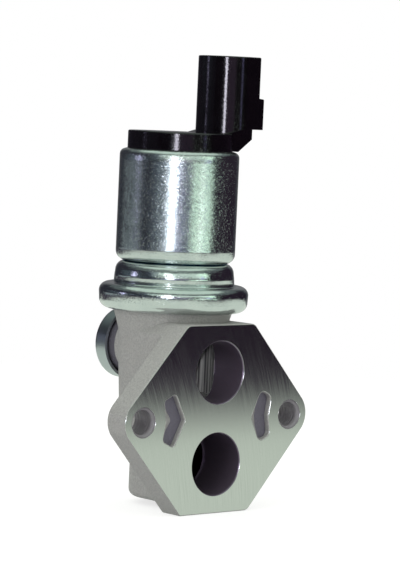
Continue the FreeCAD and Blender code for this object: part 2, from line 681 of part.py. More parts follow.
def make_joint_parts():
    """What the rolled edge clamps: cup, guide plate with its bush, and body seal."""
    foot_inside = cup_lip_radius - d.cup_sheet
    lip_foot = d.rim_underside - d.cup_sheet
    rim_inside = cup_rim_radius - d.cup_sheet
    cup_rim_top = plate_top + d.cup_sheet
    bend_height = cup_rim_top + d.drum_bend_height
    turned_piece("mounting_cup", [
        (tube_hole, cup_top),
        (tube_hole, cup_top - d.cup_sheet),
        (drum_top_radius - d.cup_sheet, cup_top - d.cup_sheet, d.drum_round - d.cup_sheet),
        (drum_bend_radius - d.cup_sheet, bend_height, d.drum_bend_round - d.cup_sheet),
        (foot_inside, plate_top, d.drum_foot_round + d.cup_sheet),
        (rim_inside, plate_top, d.plate_edge_round),
        (rim_inside, d.rim_underside, d.rim_edge_round),
        (cup_lip_radius, d.rim_underside),
        (cup_lip_radius, lip_foot),
        (cup_rim_radius - d.cup_rim_lean, lip_foot, d.cup_lip_round),
        (cup_rim_radius, cup_rim_top, d.cup_rim_round),
        (cup_lip_radius, cup_rim_top, d.drum_foot_round),
        (drum_bend_radius, bend_height, d.drum_bend_round),
        (drum_top_radius, cup_top, d.drum_round),
    ])
    hub_bore = d.bush_radius + d.fit_gap
    plate = turned_piece("guide_plate", [
        (hub_bore, d.rim_top - d.hub_below),
        (d.hub_radius, d.rim_top - d.hub_below),
        (d.hub_radius, d.rim_top),
        (rim_radius - d.easy_gap, d.rim_top),
        (rim_radius - d.easy_gap, plate_top, d.plate_edge_round),
        (d.hub_radius, plate_top),
        (d.hub_radius, plate_top + d.hub_above),
        (hub_bore, plate_top + d.hub_above),
    ])
    holes = new_sketch(plate, "breather_outline", "XY_Plane", plate_top + d.spare)
    circle(holes, d.breather_circle, 0, d.breather_radius)
    breather = feature(plate, "Pocket", "breather", holes, Length=d.plate_thick + d.spare * 2)
    spread = plate.newObject("PartDesign::PolarPattern", "breathers")
    spread.Originals = [breather]
    spread.Axis = (holes, ["N_Axis"])
    spread.Angle = FULL_TURN
    spread.Occurrences = BREATHER_COUNT
    plate.Tip = spread
    stem_hole = d.stem_radius + d.slide_gap
    turned_piece("stem_bush", [
        (stem_hole, d.rim_top - d.hub_below),
        (d.bush_radius, d.rim_top - d.hub_below),
        (d.bush_radius, plate_top + d.hub_above),
        (d.bush_flange, plate_top + d.hub_above),
        (d.bush_flange, plate_top + d.hub_above + d.bush_flange_thick),
        (stem_hole, plate_top + d.hub_above + d.bush_flange_thick),
    ])
    seal("body_seal", d.seal_groove_middle, d.seal_section, d.rim_top - d.seal_section / 2)


def lip_under(radius):
    """Height of the underside of the can's rolled lip at a radius."""
    return can_top - d.can_sheet - (radius - can_mouth) * lip_slope


def make_solenoid():
    """The can and the fixed parts that are stacked inside it."""
    inner_foot_round = d.can_foot_round - d.can_sheet
    turned_piece("solenoid_can", [
        (tube_hole, cup_top),
        (d.can_radius, cup_top, d.can_foot_round),
        (d.can_radius, can_top - d.can_lip_rise, d.can_top_round),
        (can_mouth, can_top),
        (can_mouth, can_top - d.can_sheet),
        (can_inside, lip_under(can_inside), d.can_top_round - d.can_sheet),
        (can_inside, can_floor, inner_foot_round),
        (tube_hole, can_floor),
    ])
    turned_piece("lower_flux_washer", [
        (tube_hole, can_floor),
        (stacked_radius - inner_foot_round, can_floor),
        (stacked_radius, can_floor + inner_foot_round),
        (stacked_radius, lower_washer_top),
        (tube_hole, lower_washer_top),
    ])
    tube_wall = tube_hole + d.bobbin_wall
    lower_cheek = lower_washer_top + d.bobbin_cheek
    upper_cheek = bobbin_top - d.bobbin_cheek
    turned_piece("coil_bobbin", [
        (tube_hole, lower_washer_top),
        (bobbin_radius, lower_washer_top),
        (bobbin_radius, lower_cheek),
        (tube_wall, lower_cheek),
        (tube_wall, upper_cheek),
        (bobbin_radius, upper_cheek),
        (bobbin_radius, bobbin_top),
        (tube_hole, bobbin_top),
    ])
    ring("coil_winding", tube_wall + d.fit_gap, bobbin_radius - d.winding_drop, lower_cheek, upper_cheek)
    tube_foot = cup_top - d.cup_sheet - d.tube_flange_thick
    turned_piece("guide_tube", [
        (tube_bore, tube_foot),
        (d.tube_flange, tube_foot),
        (d.tube_flange, tube_foot + d.tube_flange_thick),
        (d.tube_radius, tube_foot + d.tube_flange_thick),
        (d.tube_radius, bobbin_top),
        (tube_bore, bobbin_top),
    ])
    core_radius = tube_bore - d.fit_gap
    turned_piece("pole_core", [
        (d.core_bore, core_foot),
        (core_radius, core_foot),
        (core_radius, bobbin_top),
        (d.spigot_radius, bobbin_top),
        (d.spigot_radius, cover_foot),
        (d.core_bore, cover_foot),
    ])
    ring("pole_shim", d.core_bore + d.easy_gap, core_radius - d.easy_gap, shim_foot, core_foot)
    screw = turned_piece("preload_screw", [
        (0, screw_foot),
        (d.core_bore - d.fit_gap, screw_foot),
        (d.core_bore - d.fit_gap, cover_foot),
        (0, cover_foot),
    ])
    slot = new_sketch(screw, "screw_slot_outline")
    half_slot = d.slot_wide / 2
    slot_foot = cover_foot - d.slot_deep
    outline(slot, [
        (-half_slot, slot_foot),
        (half_slot, slot_foot),
        (half_slot, cover_foot + d.spare),
        (-half_slot, cover_foot + d.spare),
    ])
    feature(screw, "Pocket", "screw_slot", slot, Length=(d.core_bore + d.spare) * 2, SideType="Symmetric")


def make_upper_washer():
    """The upper flux washer, with notches for the connector's blades."""
    washer = turned_piece("upper_flux_washer", [
        (d.spigot_radius + d.fit_gap, bobbin_top),
        (stacked_radius, bobbin_top),
        (stacked_radius, cover_foot),
        (d.spigot_radius + d.fit_gap, cover_foot),
    ])
    half_wide = d.blade_wide / 2 + d.notch_gap
    near_side = d.blade_foot_offset - d.notch_gap
    for side, word in ((-1, "left"), (1, "right")):
        middle = d.blade_pitch / 2 * side
        notch = new_sketch(washer, word + "_notch_outline", "XY_Plane", cover_foot)
        outline(notch, [
            (near_side, middle - half_wide),
            (d.can_radius, middle - half_wide),
            (d.can_radius, middle + half_wide),
            (near_side, middle + half_wide),
        ])
        feature(washer, "Pocket", word + "_notch", notch, Length=d.washer_thick)


def blade_corners(gap):
    """Side view of a connector blade, wider all round by a gap."""
    bend = can_top + d.blade_bend_height
    thick = d.blade_thick
    return [
        (d.blade_foot_offset - gap, bobbin_top),
        (d.blade_foot_offset + thick + gap, bobbin_top),
        (d.blade_foot_offset + thick + gap, bend - gap),
        (d.blade_offset + thick + gap, bend - gap),
        (d.blade_offset + thick + gap, socket_floor + d.blade_reach),
        (d.blade_offset - gap, socket_floor + d.blade_reach),
        (d.blade_offset - gap, bend + thick + gap),
        (d.blade_foot_offset - gap, bend + thick + gap),
    ]


def make_terminals():
    """The two blades of the connector, each bent once."""
    for side, word in ((-1, "left"), (1, "right")):
        blade = new_body("terminal_" + word, d.axis_offset + d.blade_pitch / 2 * side)
        profile = new_sketch(blade, "blade_profile_" + word)
        outline(profile, blade_corners(size(0)))
        feature(blade, "Pad", "blade_" + word, profile, Length=d.blade_wide, Midplane=True)


def shell_outline(sketch, gap):
    """The shell's D shape, its round side towards the solenoid's axis."""
    radius = d.shell_radius - gap
    flat = d.shell_offset + d.shell_reach - gap
    middle = d.shell_offset
    x, y = middle.value, radius.value
    round_side = Part.Circle(point(x, 0), FreeCAD.Vector(0, 0, 1), y)
    sketch.addGeometry(Part.LineSegment(point(flat.value, -y), point(flat.value, y)), False)
    sketch.addGeometry(Part.LineSegment(point(flat.value, y), point(x, y)), False)
    sketch.addGeometry(Part.ArcOfCircle(round_side, math.pi / 2, math.pi * 1.5), False)
    sketch.addGeometry(Part.LineSegment(point(x, -y), point(flat.value, -y)), False)
    sketch.addConstraint(Sketcher.Constraint("Coincident", 0, 2, 1, 1))
    sketch.addConstraint(Sketcher.Constraint("Coincident", 3, 2, 0, 1))
    sketch.addConstraint(Sketcher.Constraint("Tangent", 1, 2, 2, 1))
    sketch.addConstraint(Sketcher.Constraint("Tangent", 2, 2, 3, 1))
    sketch.addConstraint(Sketcher.Constraint("Vertical", 0))
    sketch.addConstraint(Sketcher.Constraint("Horizontal", 1))
    sketch.addConstraint(Sketcher.Constraint("Horizontal", 3))
    measure(sketch, "Radius", 2, length=radius)
    pin(sketch, 2, 3, middle, 0)
    measure(sketch, "DistanceX", 0, 1, length=flat)


def make_cover():
    """The black moulding: cover disc, arm, connector shell and latch ledge."""
    seal_section = d.cover_seal_section
    channel_foot = cover_foot + (d.cover_flange - seal_section) / 2
    channel_radius = stacked_radius + d.easy_gap - seal_section
    cover = turned_piece("connector_cover", [
        (0, cover_foot),
        (stacked_radius, cover_foot),
        (stacked_radius, channel_foot),
        (channel_radius, channel_foot),
        (channel_radius, channel_foot + seal_section),
        (stacked_radius, channel_foot + seal_section),
        (stacked_radius, lip_under(stacked_radius), d.can_top_round - d.can_sheet),
        (cover_radius, can_top - d.can_sheet),
        (cover_radius, cover_top, d.cover_edge),
        (0, cover_top),
    ])
    seal("cover_seal", channel_radius + seal_section / 2, seal_section, channel_foot + seal_section / 2)

    arm = new_sketch(cover, "arm_profile")
    outline(arm, [
        (d.shell_offset - d.shell_radius, can_top + d.cover_edge),
        (d.arm_slope_start, can_top),
        (d.arm_reach, can_top + d.arm_slope_height),
        (d.arm_reach, shell_foot + d.shell_edge),
        (d.shell_offset, shell_foot + d.shell_edge),
        (d.shell_offset - d.shell_radius, cover_top - d.cover_edge),
    ])
    feature(cover, "Pad", "arm", arm, Length=d.shell_radius * 2, Midplane=True)
    shell_base = cover_top - d.cover_edge
    shell = new_sketch(cover, "shell_outline", "XY_Plane", shell_base)
    shell_outline(shell, size(0))
    feature(cover, "Pad", "shell", shell, Length=shell_top - shell_base)

    relief = new_sketch(cover, "relief_profile")
    beyond = d.ledge_reach + d.spare
    outline(relief, [
        (d.arm_reach, can_top),
        (beyond, can_top),
        (beyond, shell_foot),
        (d.arm_reach, shell_foot),
    ])
    feature(cover, "Pocket", "relief", relief, Length=(d.shell_radius + d.spare) * 2, Midplane=True)

    ledge = new_sketch(cover, "ledge_profile")
    ledge_top = shell_foot + d.ledge_height
    outline(ledge, [
        (d.arm_reach, shell_foot),
        (d.ledge_reach, shell_foot),
        (d.ledge_reach, ledge_top - d.ledge_slope, d.shell_edge),
        (d.arm_reach, ledge_top),
    ])
    ledge_pad = feature(cover, "Pad", "ledge", ledge, Length=d.shell_radius * 2, Midplane=True)
    dress(cover, "Fillet", "shell_mouth_round", ledge_pad, d.shell_edge,
          lambda box: near(box.ZMin, shell_top))

    socket = new_sketch(cover, "socket_outline", "XY_Plane", shell_top)
    shell_outline(socket, d.shell_wall)
    feature(cover, "Pocket", "socket", socket, Length=d.socket_depth)
    for side, word in ((-1, "left"), (1, "right")):
        slot = new_sketch(cover, word + "_blade_slot", lift=d.blade_pitch / 2 * -side)
        outline(slot, blade_corners(d.fit_gap))
        slot_wide = d.blade_wide + d.fit_gap * 2
        feature(cover, "Pocket", word + "_blade_cut", slot, Length=slot_wide, Midplane=True)


def make_armature():
    """The armature, with the stem's hole below and the spring's pocket above."""
    core_radius = tube_bore - d.slide_gap
    stem_hole = d.stem_radius + d.fit_gap
    stem_top = armature_foot + d.stem_grip
    pocket_radius = d.core_bore
    armature = turned_piece("armature", [
        (0, stem_top),
        (stem_hole, stem_top),
        (stem_hole, armature_foot),
        (core_radius, armature_foot),
        (core_radius, armature_top),
        (pocket_radius, armature_top),
        (pocket_radius, spring_foot),
        (0, spring_foot),
    ])
    half_slot = d.armature_slot_wide / 2
    bleed = new_sketch(armature, "bleed_outline", "XY_Plane", armature_top)
    outline(bleed, [
        (core_radius - d.armature_slot_deep, -half_slot),
        (d.can_radius, -half_slot),
        (d.can_radius, half_slot),
        (core_radius - d.armature_slot_deep, half_slot),
    ])
    first = feature(armature, "Pocket", "bleed_slot", bleed, Length=d.armature_length)
    spread = armature.newObject("PartDesign::PolarPattern", "bleed_slots")
    spread.Originals = [first]
    spread.Axis = (bleed, ["N_Axis"])
    spread.Angle = FULL_TURN
    spread.Occurrences = BLEED_SLOT_COUNT
    armature.Tip = spread


def make_stem():
    """The stem, thinner where it carries the poppet and grooved for the clip."""
    stem_top = armature_foot + d.stem_grip
    groove_radius = d.stem_tip_radius - d.clip_groove
    turned_piece("valve_stem", [
        (0, stem_foot),
        (d.stem_tip_radius, stem_foot),
        (d.stem_tip_radius, clip_foot),
        (groove_radius, clip_foot),
        (groove_radius, plug_foot),
        (d.stem_tip_radius, plug_foot),
        (d.stem_tip_radius, poppet_top),
        (d.stem_radius, poppet_top),
        (d.stem_radius, stem_top),
        (0, stem_top),
    ])


def make_poppet():
    """The poppet with its tapered plug, the seal under its plate and the clip that holds it."""
    bore = d.stem_tip_radius + d.fit_gap
    plug_radius = d.seat_bore - d.plug_gap
    seal_inner = d.seat_bore
    seal_outer = seal_inner + d.seal_ring_wide
    seal_top = poppet_foot + d.seal_ring_thick
    turned_piece("poppet", [
        (bore, plug_foot),
        (d.plug_tip, plug_foot),
        (plug_radius, poppet_foot),
        (seal_inner, poppet_foot),
        (seal_inner, seal_top),
        (seal_outer, seal_top),
        (seal_outer, poppet_foot),
        (d.poppet_radius, poppet_foot),
        (d.poppet_radius, poppet_plate_top),
        (d.poppet_hub, poppet_plate_top),
        (d.poppet_hub, poppet_top),
        (bore, poppet_top),
    ])
    ring("poppet_seal", seal_inner, seal_outer, poppet_foot, seal_top)
    clip_bore = d.stem_tip_radius - d.clip_groove + d.fit_gap
    clip = ring("poppet_clip", clip_bore, d.clip_radius, clip_foot, plug_foot)
    mouth = new_sketch(clip, "clip_mouth_outline", "XY_Plane", plug_foot)
    half_mouth = d.clip_mouth / 2
    beyond = d.clip_radius + d.spare
    outline(mouth, [(0, -half_mouth), (beyond, -half_mouth), (beyond, half_mouth), (0, half_mouth)])
    feature(clip, "Pocket", "clip_mouth", mouth, Length=d.clip_thick)


def make_spring():
    """The return spring, between the armature's pocket and the preload screw."""
    spring = new_body("return_spring", d.axis_offset)
    section = new_sketch(spring, "wire_section")
    circle(section, d.spring_radius, spring_foot + d.wire / 2, d.wire / 2)
    coil = spring.newObject("PartDesign::AdditiveHelix", "coil")
    coil.Profile = section
    coil.ReferenceAxis = (section, ["V_Axis"])
    coil.Mode = "height-turns-angle"
    coil.setExpression("Height", (screw_foot - spring_foot - d.wire).text)
    coil.setExpression("Turns", d.spring_turns.text)


def check(body):
    """Stops the build where a piece failed or isn't one sound solid."""
    for made in body.Group + [body]:
        if "Invalid" in made.State or "Error" in made.State:
            raise RuntimeError(body.Label + ": " + made.Name + " failed")
    if body.Shape.isNull() or not body.Shape.isValid() or len(body.Shape.Solids) != 1:
        raise RuntimeError(body.Label + ": not one valid solid")


make_valve_body()
make_seat()
make_rear_cap()
make_joint_parts()
make_solenoid()
make_upper_washer()
make_cover()
make_terminals()
make_armature()
make_stem()
make_poppet()
make_spring()
doc.recompute()

for body in bodies:
    check(body)
os.makedirs("parts", exist_ok=True)
for body in bodies:
    body.Shape.exportStep("parts/" + body.Label + ".step")
    print(body.Label, round(body.Shape.Volume, 1))
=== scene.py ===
"""Looks of an idle air control valve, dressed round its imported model.

Lengths are in millimetres where a name ends in _mm, and in metres elsewhere. The frame's
origin is the middle of the flange's milled face, X runs along the bolt holes, Y into the
valve and Z up along the solenoid's axis.
"""

import json
import logging
import math
from abc import ABC, abstractmethod
from dataclasses import dataclass
from enum import Enum
from functools import lru_cache
from typing import Any, Mapping, Protocol

import bmesh
import bpy
from mathutils import Matrix, Vector


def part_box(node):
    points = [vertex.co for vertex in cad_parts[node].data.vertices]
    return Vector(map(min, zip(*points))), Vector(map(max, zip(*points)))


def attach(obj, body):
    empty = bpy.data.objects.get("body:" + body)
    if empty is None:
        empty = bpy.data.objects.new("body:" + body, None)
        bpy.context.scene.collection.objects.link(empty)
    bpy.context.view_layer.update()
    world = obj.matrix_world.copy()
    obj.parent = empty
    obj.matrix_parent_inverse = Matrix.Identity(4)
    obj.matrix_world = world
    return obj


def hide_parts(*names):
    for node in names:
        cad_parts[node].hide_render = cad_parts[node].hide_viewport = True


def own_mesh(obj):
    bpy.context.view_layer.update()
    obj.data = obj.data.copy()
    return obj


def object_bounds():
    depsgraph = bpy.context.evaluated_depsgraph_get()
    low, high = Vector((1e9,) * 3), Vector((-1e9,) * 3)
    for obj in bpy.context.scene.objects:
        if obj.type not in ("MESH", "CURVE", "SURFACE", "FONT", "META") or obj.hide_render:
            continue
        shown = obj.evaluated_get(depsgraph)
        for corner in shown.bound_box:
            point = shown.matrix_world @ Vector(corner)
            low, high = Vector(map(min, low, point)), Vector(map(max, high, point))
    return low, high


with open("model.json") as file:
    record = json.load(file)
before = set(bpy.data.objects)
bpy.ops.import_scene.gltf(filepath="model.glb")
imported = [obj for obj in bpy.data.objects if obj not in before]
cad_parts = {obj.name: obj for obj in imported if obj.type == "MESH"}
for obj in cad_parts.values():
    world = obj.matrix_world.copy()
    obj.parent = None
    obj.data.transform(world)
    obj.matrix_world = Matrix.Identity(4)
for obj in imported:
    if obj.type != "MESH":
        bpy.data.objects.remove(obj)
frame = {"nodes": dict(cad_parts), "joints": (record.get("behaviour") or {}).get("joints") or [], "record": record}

CAD_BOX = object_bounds()
LOG = logging.getLogger("valve")
MM = 0.001
# Half the width of a mask's edge, narrow enough to look sharp.
MASK_EDGE_MM = 0.02

Inputs = Mapping[Any, Any]
Socket = bpy.types.NodeSocket


def in_mm(metres: float) -> float:
    """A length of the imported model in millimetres, to a thousandth."""
    return round(metres / MM, 3)


def lowest(node: str) -> Vector:
    """Lowest corner of a node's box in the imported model."""
    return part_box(node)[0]


def middle(node: str) -> Vector:
    """Middle of a node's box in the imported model."""
    low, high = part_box(node)
    return (low + high) / 2


def mount(name: str) -> Mapping[str, Any]:
    """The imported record's entry for a mount."""
    return next(entry for entry in frame["record"]["mounts"] if entry["name"] == name)


# How far into the valve the solenoid's axis stands from the flange's face.
AXIS_MM = in_mm(middle("seat_ring").y)


def linear(hex_colour: str) -> tuple[float, float, float, float]:
    """Turns an sRGB colour into the linear one that a shader takes.

    Args:
        hex_colour: The colour as #rrggbb.

    Returns:
        Red, green, blue and an alpha of one.
    """
    parts = [int(hex_colour[index:index + 2], 16) / 255 for index in (1, 3, 5)]
    curve = [part / 12.92 if part <= 0.04045 else ((part + 0.055) / 1.055) ** 2.4 for part in parts]
    return (*curve, 1.0)


def add_node(tree: bpy.types.NodeTree, kind: str, inputs: Inputs | None = None,
             out: int | str = 0, **settings: Any) -> Socket:
    """Adds a shader node with its settings and links.

    Args:
        tree: The tree that the node joins.
        kind: Blender's name of the node, without its ShaderNode prefix.
        inputs: A value or another node's output for each input, by its name or number.
        out: The output to hand back.
        settings: Properties of the node.

    Returns:
        The node's output socket.
    """
    node = tree.nodes.new("ShaderNode" + kind)
    for name, value in settings.items():
        setattr(node, name, value)
    for name, value in (inputs or {}).items():
        if isinstance(value, Socket):
            tree.links.new(value, node.inputs[name])
        else:
            node.inputs[name].default_value = value
    return node.outputs[out]


def per_grain(size_mm: float) -> float:
    """Scale of a pattern in metres whose grains are this many millimetres wide."""
    return 1.0 / (size_mm * MM)


class Mask(Enum):
    """How two masks join."""

    BOTH = "MULTIPLY"
    EITHER = "MAXIMUM"


@dataclass(frozen=True)
class Dome:
    """Slight bulge of a drawn wall, as its slopes at two heights above the piece's foot.

    A positive slope faces upward.
    """

    low_mm: float
    high_mm: float
    low_slope: float
    high_slope: float


@dataclass(frozen=True)
class Zone:
    """Look of a raw or machined zone of a piece."""

    colour: str
    roughness: float
    metallic: float


class Skin:
    """A surface's node tree while it is being made, with its masks and patterns."""

    def __init__(self, name: str) -> None:
        """Starts an empty material.

        Args:
            name: The material's name.
        """
        self.material = bpy.data.materials.new(name)
        self.material.use_nodes = True
        self.tree = self.material.node_tree
        self.tree.nodes.clear()
        self.place = self.add("TexCoord", out="Object")
        axes = self.add("SeparateXYZ", {0: self.place}).node
        self.x, self.y, self.z = axes.outputs

    def add(self, kind: str, inputs: Inputs | None = None, out: int | str = 0,
            **settings: Any) -> Socket:
        """Adds a node to this surface's tree, as add_node does."""
        return add_node(self.tree, kind, inputs, out, **settings)

    def join(self, first: Socket, second: Socket, how: Mask) -> Socket:
        """Joins two masks, or cuts a pattern to a mask."""
        return self.add("Math", {0: first, 1: second}, operation=how.value)

    def outside(self, mask: Socket) -> Socket:
        """Mask of all that another one leaves out."""
        return self.add("Math", {0: 1.0, 1: mask}, operation="SUBTRACT")

    def beyond(self, measure: Socket, place_mm: float) -> Socket:
        """Mask of what lies past a place along a measure.

        Args:
            measure: The measure, in metres.
            place_mm: Where the mask starts, in millimetres.

        Returns:
            One past the place and zero before it.
        """
        limits = {1: (place_mm - MASK_EDGE_MM) * MM, 2: (place_mm + MASK_EDGE_MM) * MM}
        return self.add("MapRange", {0: measure, **limits})

    def band(self, measure: Socket, low_mm: float, high_mm: float) -> Socket:
        """Mask of what lies between two places along a measure."""
        below = self.outside(self.beyond(measure, high_mm))
        return self.join(self.beyond(measure, low_mm), below, Mask.BOTH)

    def apart(self, across: Socket, along: Socket, axis_mm: tuple[float, float]) -> Socket:
        """Distance from an axis that stands square to two of the coordinates.

        Args:
            across: The first of these coordinates.
            along: The second one.
            axis_mm: The axis's place along both, in millimetres.

        Returns:
            The distance in metres.
        """
        flat = self.add("CombineXYZ", {0: across, 1: along})
        axis = (axis_mm[0] * MM, axis_mm[1] * MM, 0.0)
        return self.add("VectorMath", {0: flat, 1: axis}, out="Value", operation="DISTANCE")

    def cylinder(self, across: Socket, along: Socket, axis_mm: tuple[float, float],
                 radius_mm: float, within: Socket) -> Socket:
        """Mask of what lies inside a cylinder.

        Args:
            across: One coordinate square to the cylinder's axis.
            along: The other one.
            axis_mm: The axis's place along both, in millimetres.
            radius_mm: The cylinder's radius.
            within: A mask that cuts the cylinder to its length.

        Returns:
            One inside the cylinder and zero outside it.
        """
        inside = self.outside(self.beyond(self.apart(across, along, axis_mm), radius_mm))
        return self.join(inside, within, Mask.BOTH)

    def grain(self, size_mm: float, stretch: tuple[float, float, float] = (1.0, 1.0, 1.0),
              detail: float = 2.0, place: Socket | None = None) -> Socket:
        """Cloudy noise whose grains have a real size.

        Args:
            size_mm: Width of a grain.
            stretch: How many times longer the grains are along each axis.
            detail: Layers of finer noise.
            place: Coordinates to use in place of the piece's own.

        Returns:
            The noise, about one half on average.
        """
        shrink = tuple(1.0 / factor for factor in stretch)
        where = self.add("VectorMath", {0: place or self.place, 1: shrink}, operation="MULTIPLY")
        return self.add("TexNoise", {"Vector": where, "Scale": per_grain(size_mm), "Detail": detail})

    def vary(self, factor: Socket, low: float, high: float,
             start: float = 0.0, stop: float = 1.0) -> Socket:
        """A number that goes from low to high while the factor goes from start to stop."""
        return self.add("MapRange", {0: factor, 1: start, 2: stop, 3: low, 4: high})

    def tint(self, factor: Socket, first: Any, second: Any) -> Socket:
        """A colour between two, which are hex colours or sockets."""
        ends = [linear(end) if isinstance(end, str) else end for end in (first, second)]
        return self.add("Mix", {0: factor, 6: ends[0], 7: ends[1]}, out=2, data_type="RGBA")

    def relief(self, height: Socket, depth_mm: float, under: Socket | None = None) -> Socket:
        """Relief that a pattern gives the surface.

        Args:
            height: The pattern, from zero to one.
            depth_mm: How deep its full range is, in millimetres.
            under: The normal that it is laid on, where that isn't the piece's own.

        Returns:
            The normal with the relief in it.
        """
        inputs = {"Height": height, "Distance": depth_mm * MM, "Strength": 1.0}
        if under is not None:
            inputs["Normal"] = under
        return self.add("Bump", inputs)

    def lean(self, normal: Socket, push: Any) -> Socket:
        """The normal pushed to one side by a slope."""
        leaning = self.add("VectorMath", {0: normal, 1: push}, operation="ADD")
        return self.add("VectorMath", {0: leaning}, operation="NORMALIZE")

    def dome(self, shape: Dome, foot_mm: float, normal: Socket) -> Socket:
        """The normal leaned up or down between two heights.

        Args:
            shape: The heights and the slopes there.
            foot_mm: Height of the piece's foot, in millimetres.
            normal: The surface's normal without it.

        Returns:
            The leaning normal.
        """
        low_mm = foot_mm + shape.low_mm
        high_mm = foot_mm + shape.high_mm
        slope = self.vary(self.z, shape.low_slope, shape.high_slope, low_mm * MM, high_mm * MM)
        within = self.band(self.z, low_mm, high_mm)
        return self.lean(normal, self.add("CombineXYZ", {2: self.join(slope, within, Mask.BOTH)}))

    def facets(self, size_mm: float, tilt: float, normal: Socket) -> Socket:
        """Normal of a crystalline skin, whose grains lean each their own way.

        Args:
            size_mm: Width of a grain, in millimetres.
            tilt: How far the few steepest grains lean, as a slope. Most lean far less.
            normal: The surface's normal without the grains.

        Returns:
            The normal with the grains in it.
        """
        cell = self.add("TexVoronoi", {"Vector": self.place, "Scale": per_grain(size_mm)}, out="Color")
        way = self.add("VectorMath", {0: cell, 1: (0.5, 0.5, 0.5)}, operation="SUBTRACT")
        square = self.add("VectorMath", {0: way, 1: way}, operation="MULTIPLY")
        cube = self.add("VectorMath", {0: square, 1: way}, operation="MULTIPLY")
        # A way reaches one half at most, and so its cube one eighth.
        full = 8.0 * tilt
        push = self.add("VectorMath", {0: cube, 1: (full, full, full)}, operation="MULTIPLY")
        return self.lean(normal, push)

    def finish(self, surface: Socket) -> bpy.types.Material:
        """Ends the tree with its surface.

        Args:
            surface: The last shader of the tree.

        Returns:
            The material.
        """
        output = self.tree.nodes.new("ShaderNodeOutputMaterial")
        self.tree.links.new(surface, output.inputs["Surface"])
        return self.material


class Layers:
    """Colour, roughness and metallic of a surface, with one zone laid over another."""

    def __init__(self, skin: Skin, ground: Zone, colour: Socket) -> None:
        """Starts with the zone that lies under all others.

        Args:
            skin: The surface's tree.
            ground: The zone's look.
            colour: Its patterned colour.
        """
        self.skin = skin
        self.colour = colour
        self.roughness: Any = ground.roughness
        self.metallic: Any = ground.metallic

    def cover(self, mask: Socket, zone: Zone, colour: Socket | None = None,
              roughness: Socket | None = None) -> None:
        """Lays a zone over what is there.

        Args:
            mask: Where the zone is.
            zone: Its look.
            colour: Its patterned colour, where it isn't plain.
            roughness: Its patterned roughness, where it isn't even.
        """
        rough = roughness or zone.roughness
        self.colour = self.skin.tint(mask, self.colour, colour or zone.colour)
        self.roughness = self.skin.add("Mix", {0: mask, 2: self.roughness, 3: rough})
        self.metallic = self.skin.add("Mix", {0: mask, 2: self.metallic, 3: zone.metallic})


class Finish(Protocol):
    """A surface that can be made into a material."""

    def make(self) -> bpy.types.Material:
        """Makes the material."""


@lru_cache(maxsize=None)
def material_of(finish: Finish) -> bpy.types.Material:
    """A finish's material, made once for all the pieces that have it."""
    return finish.make()


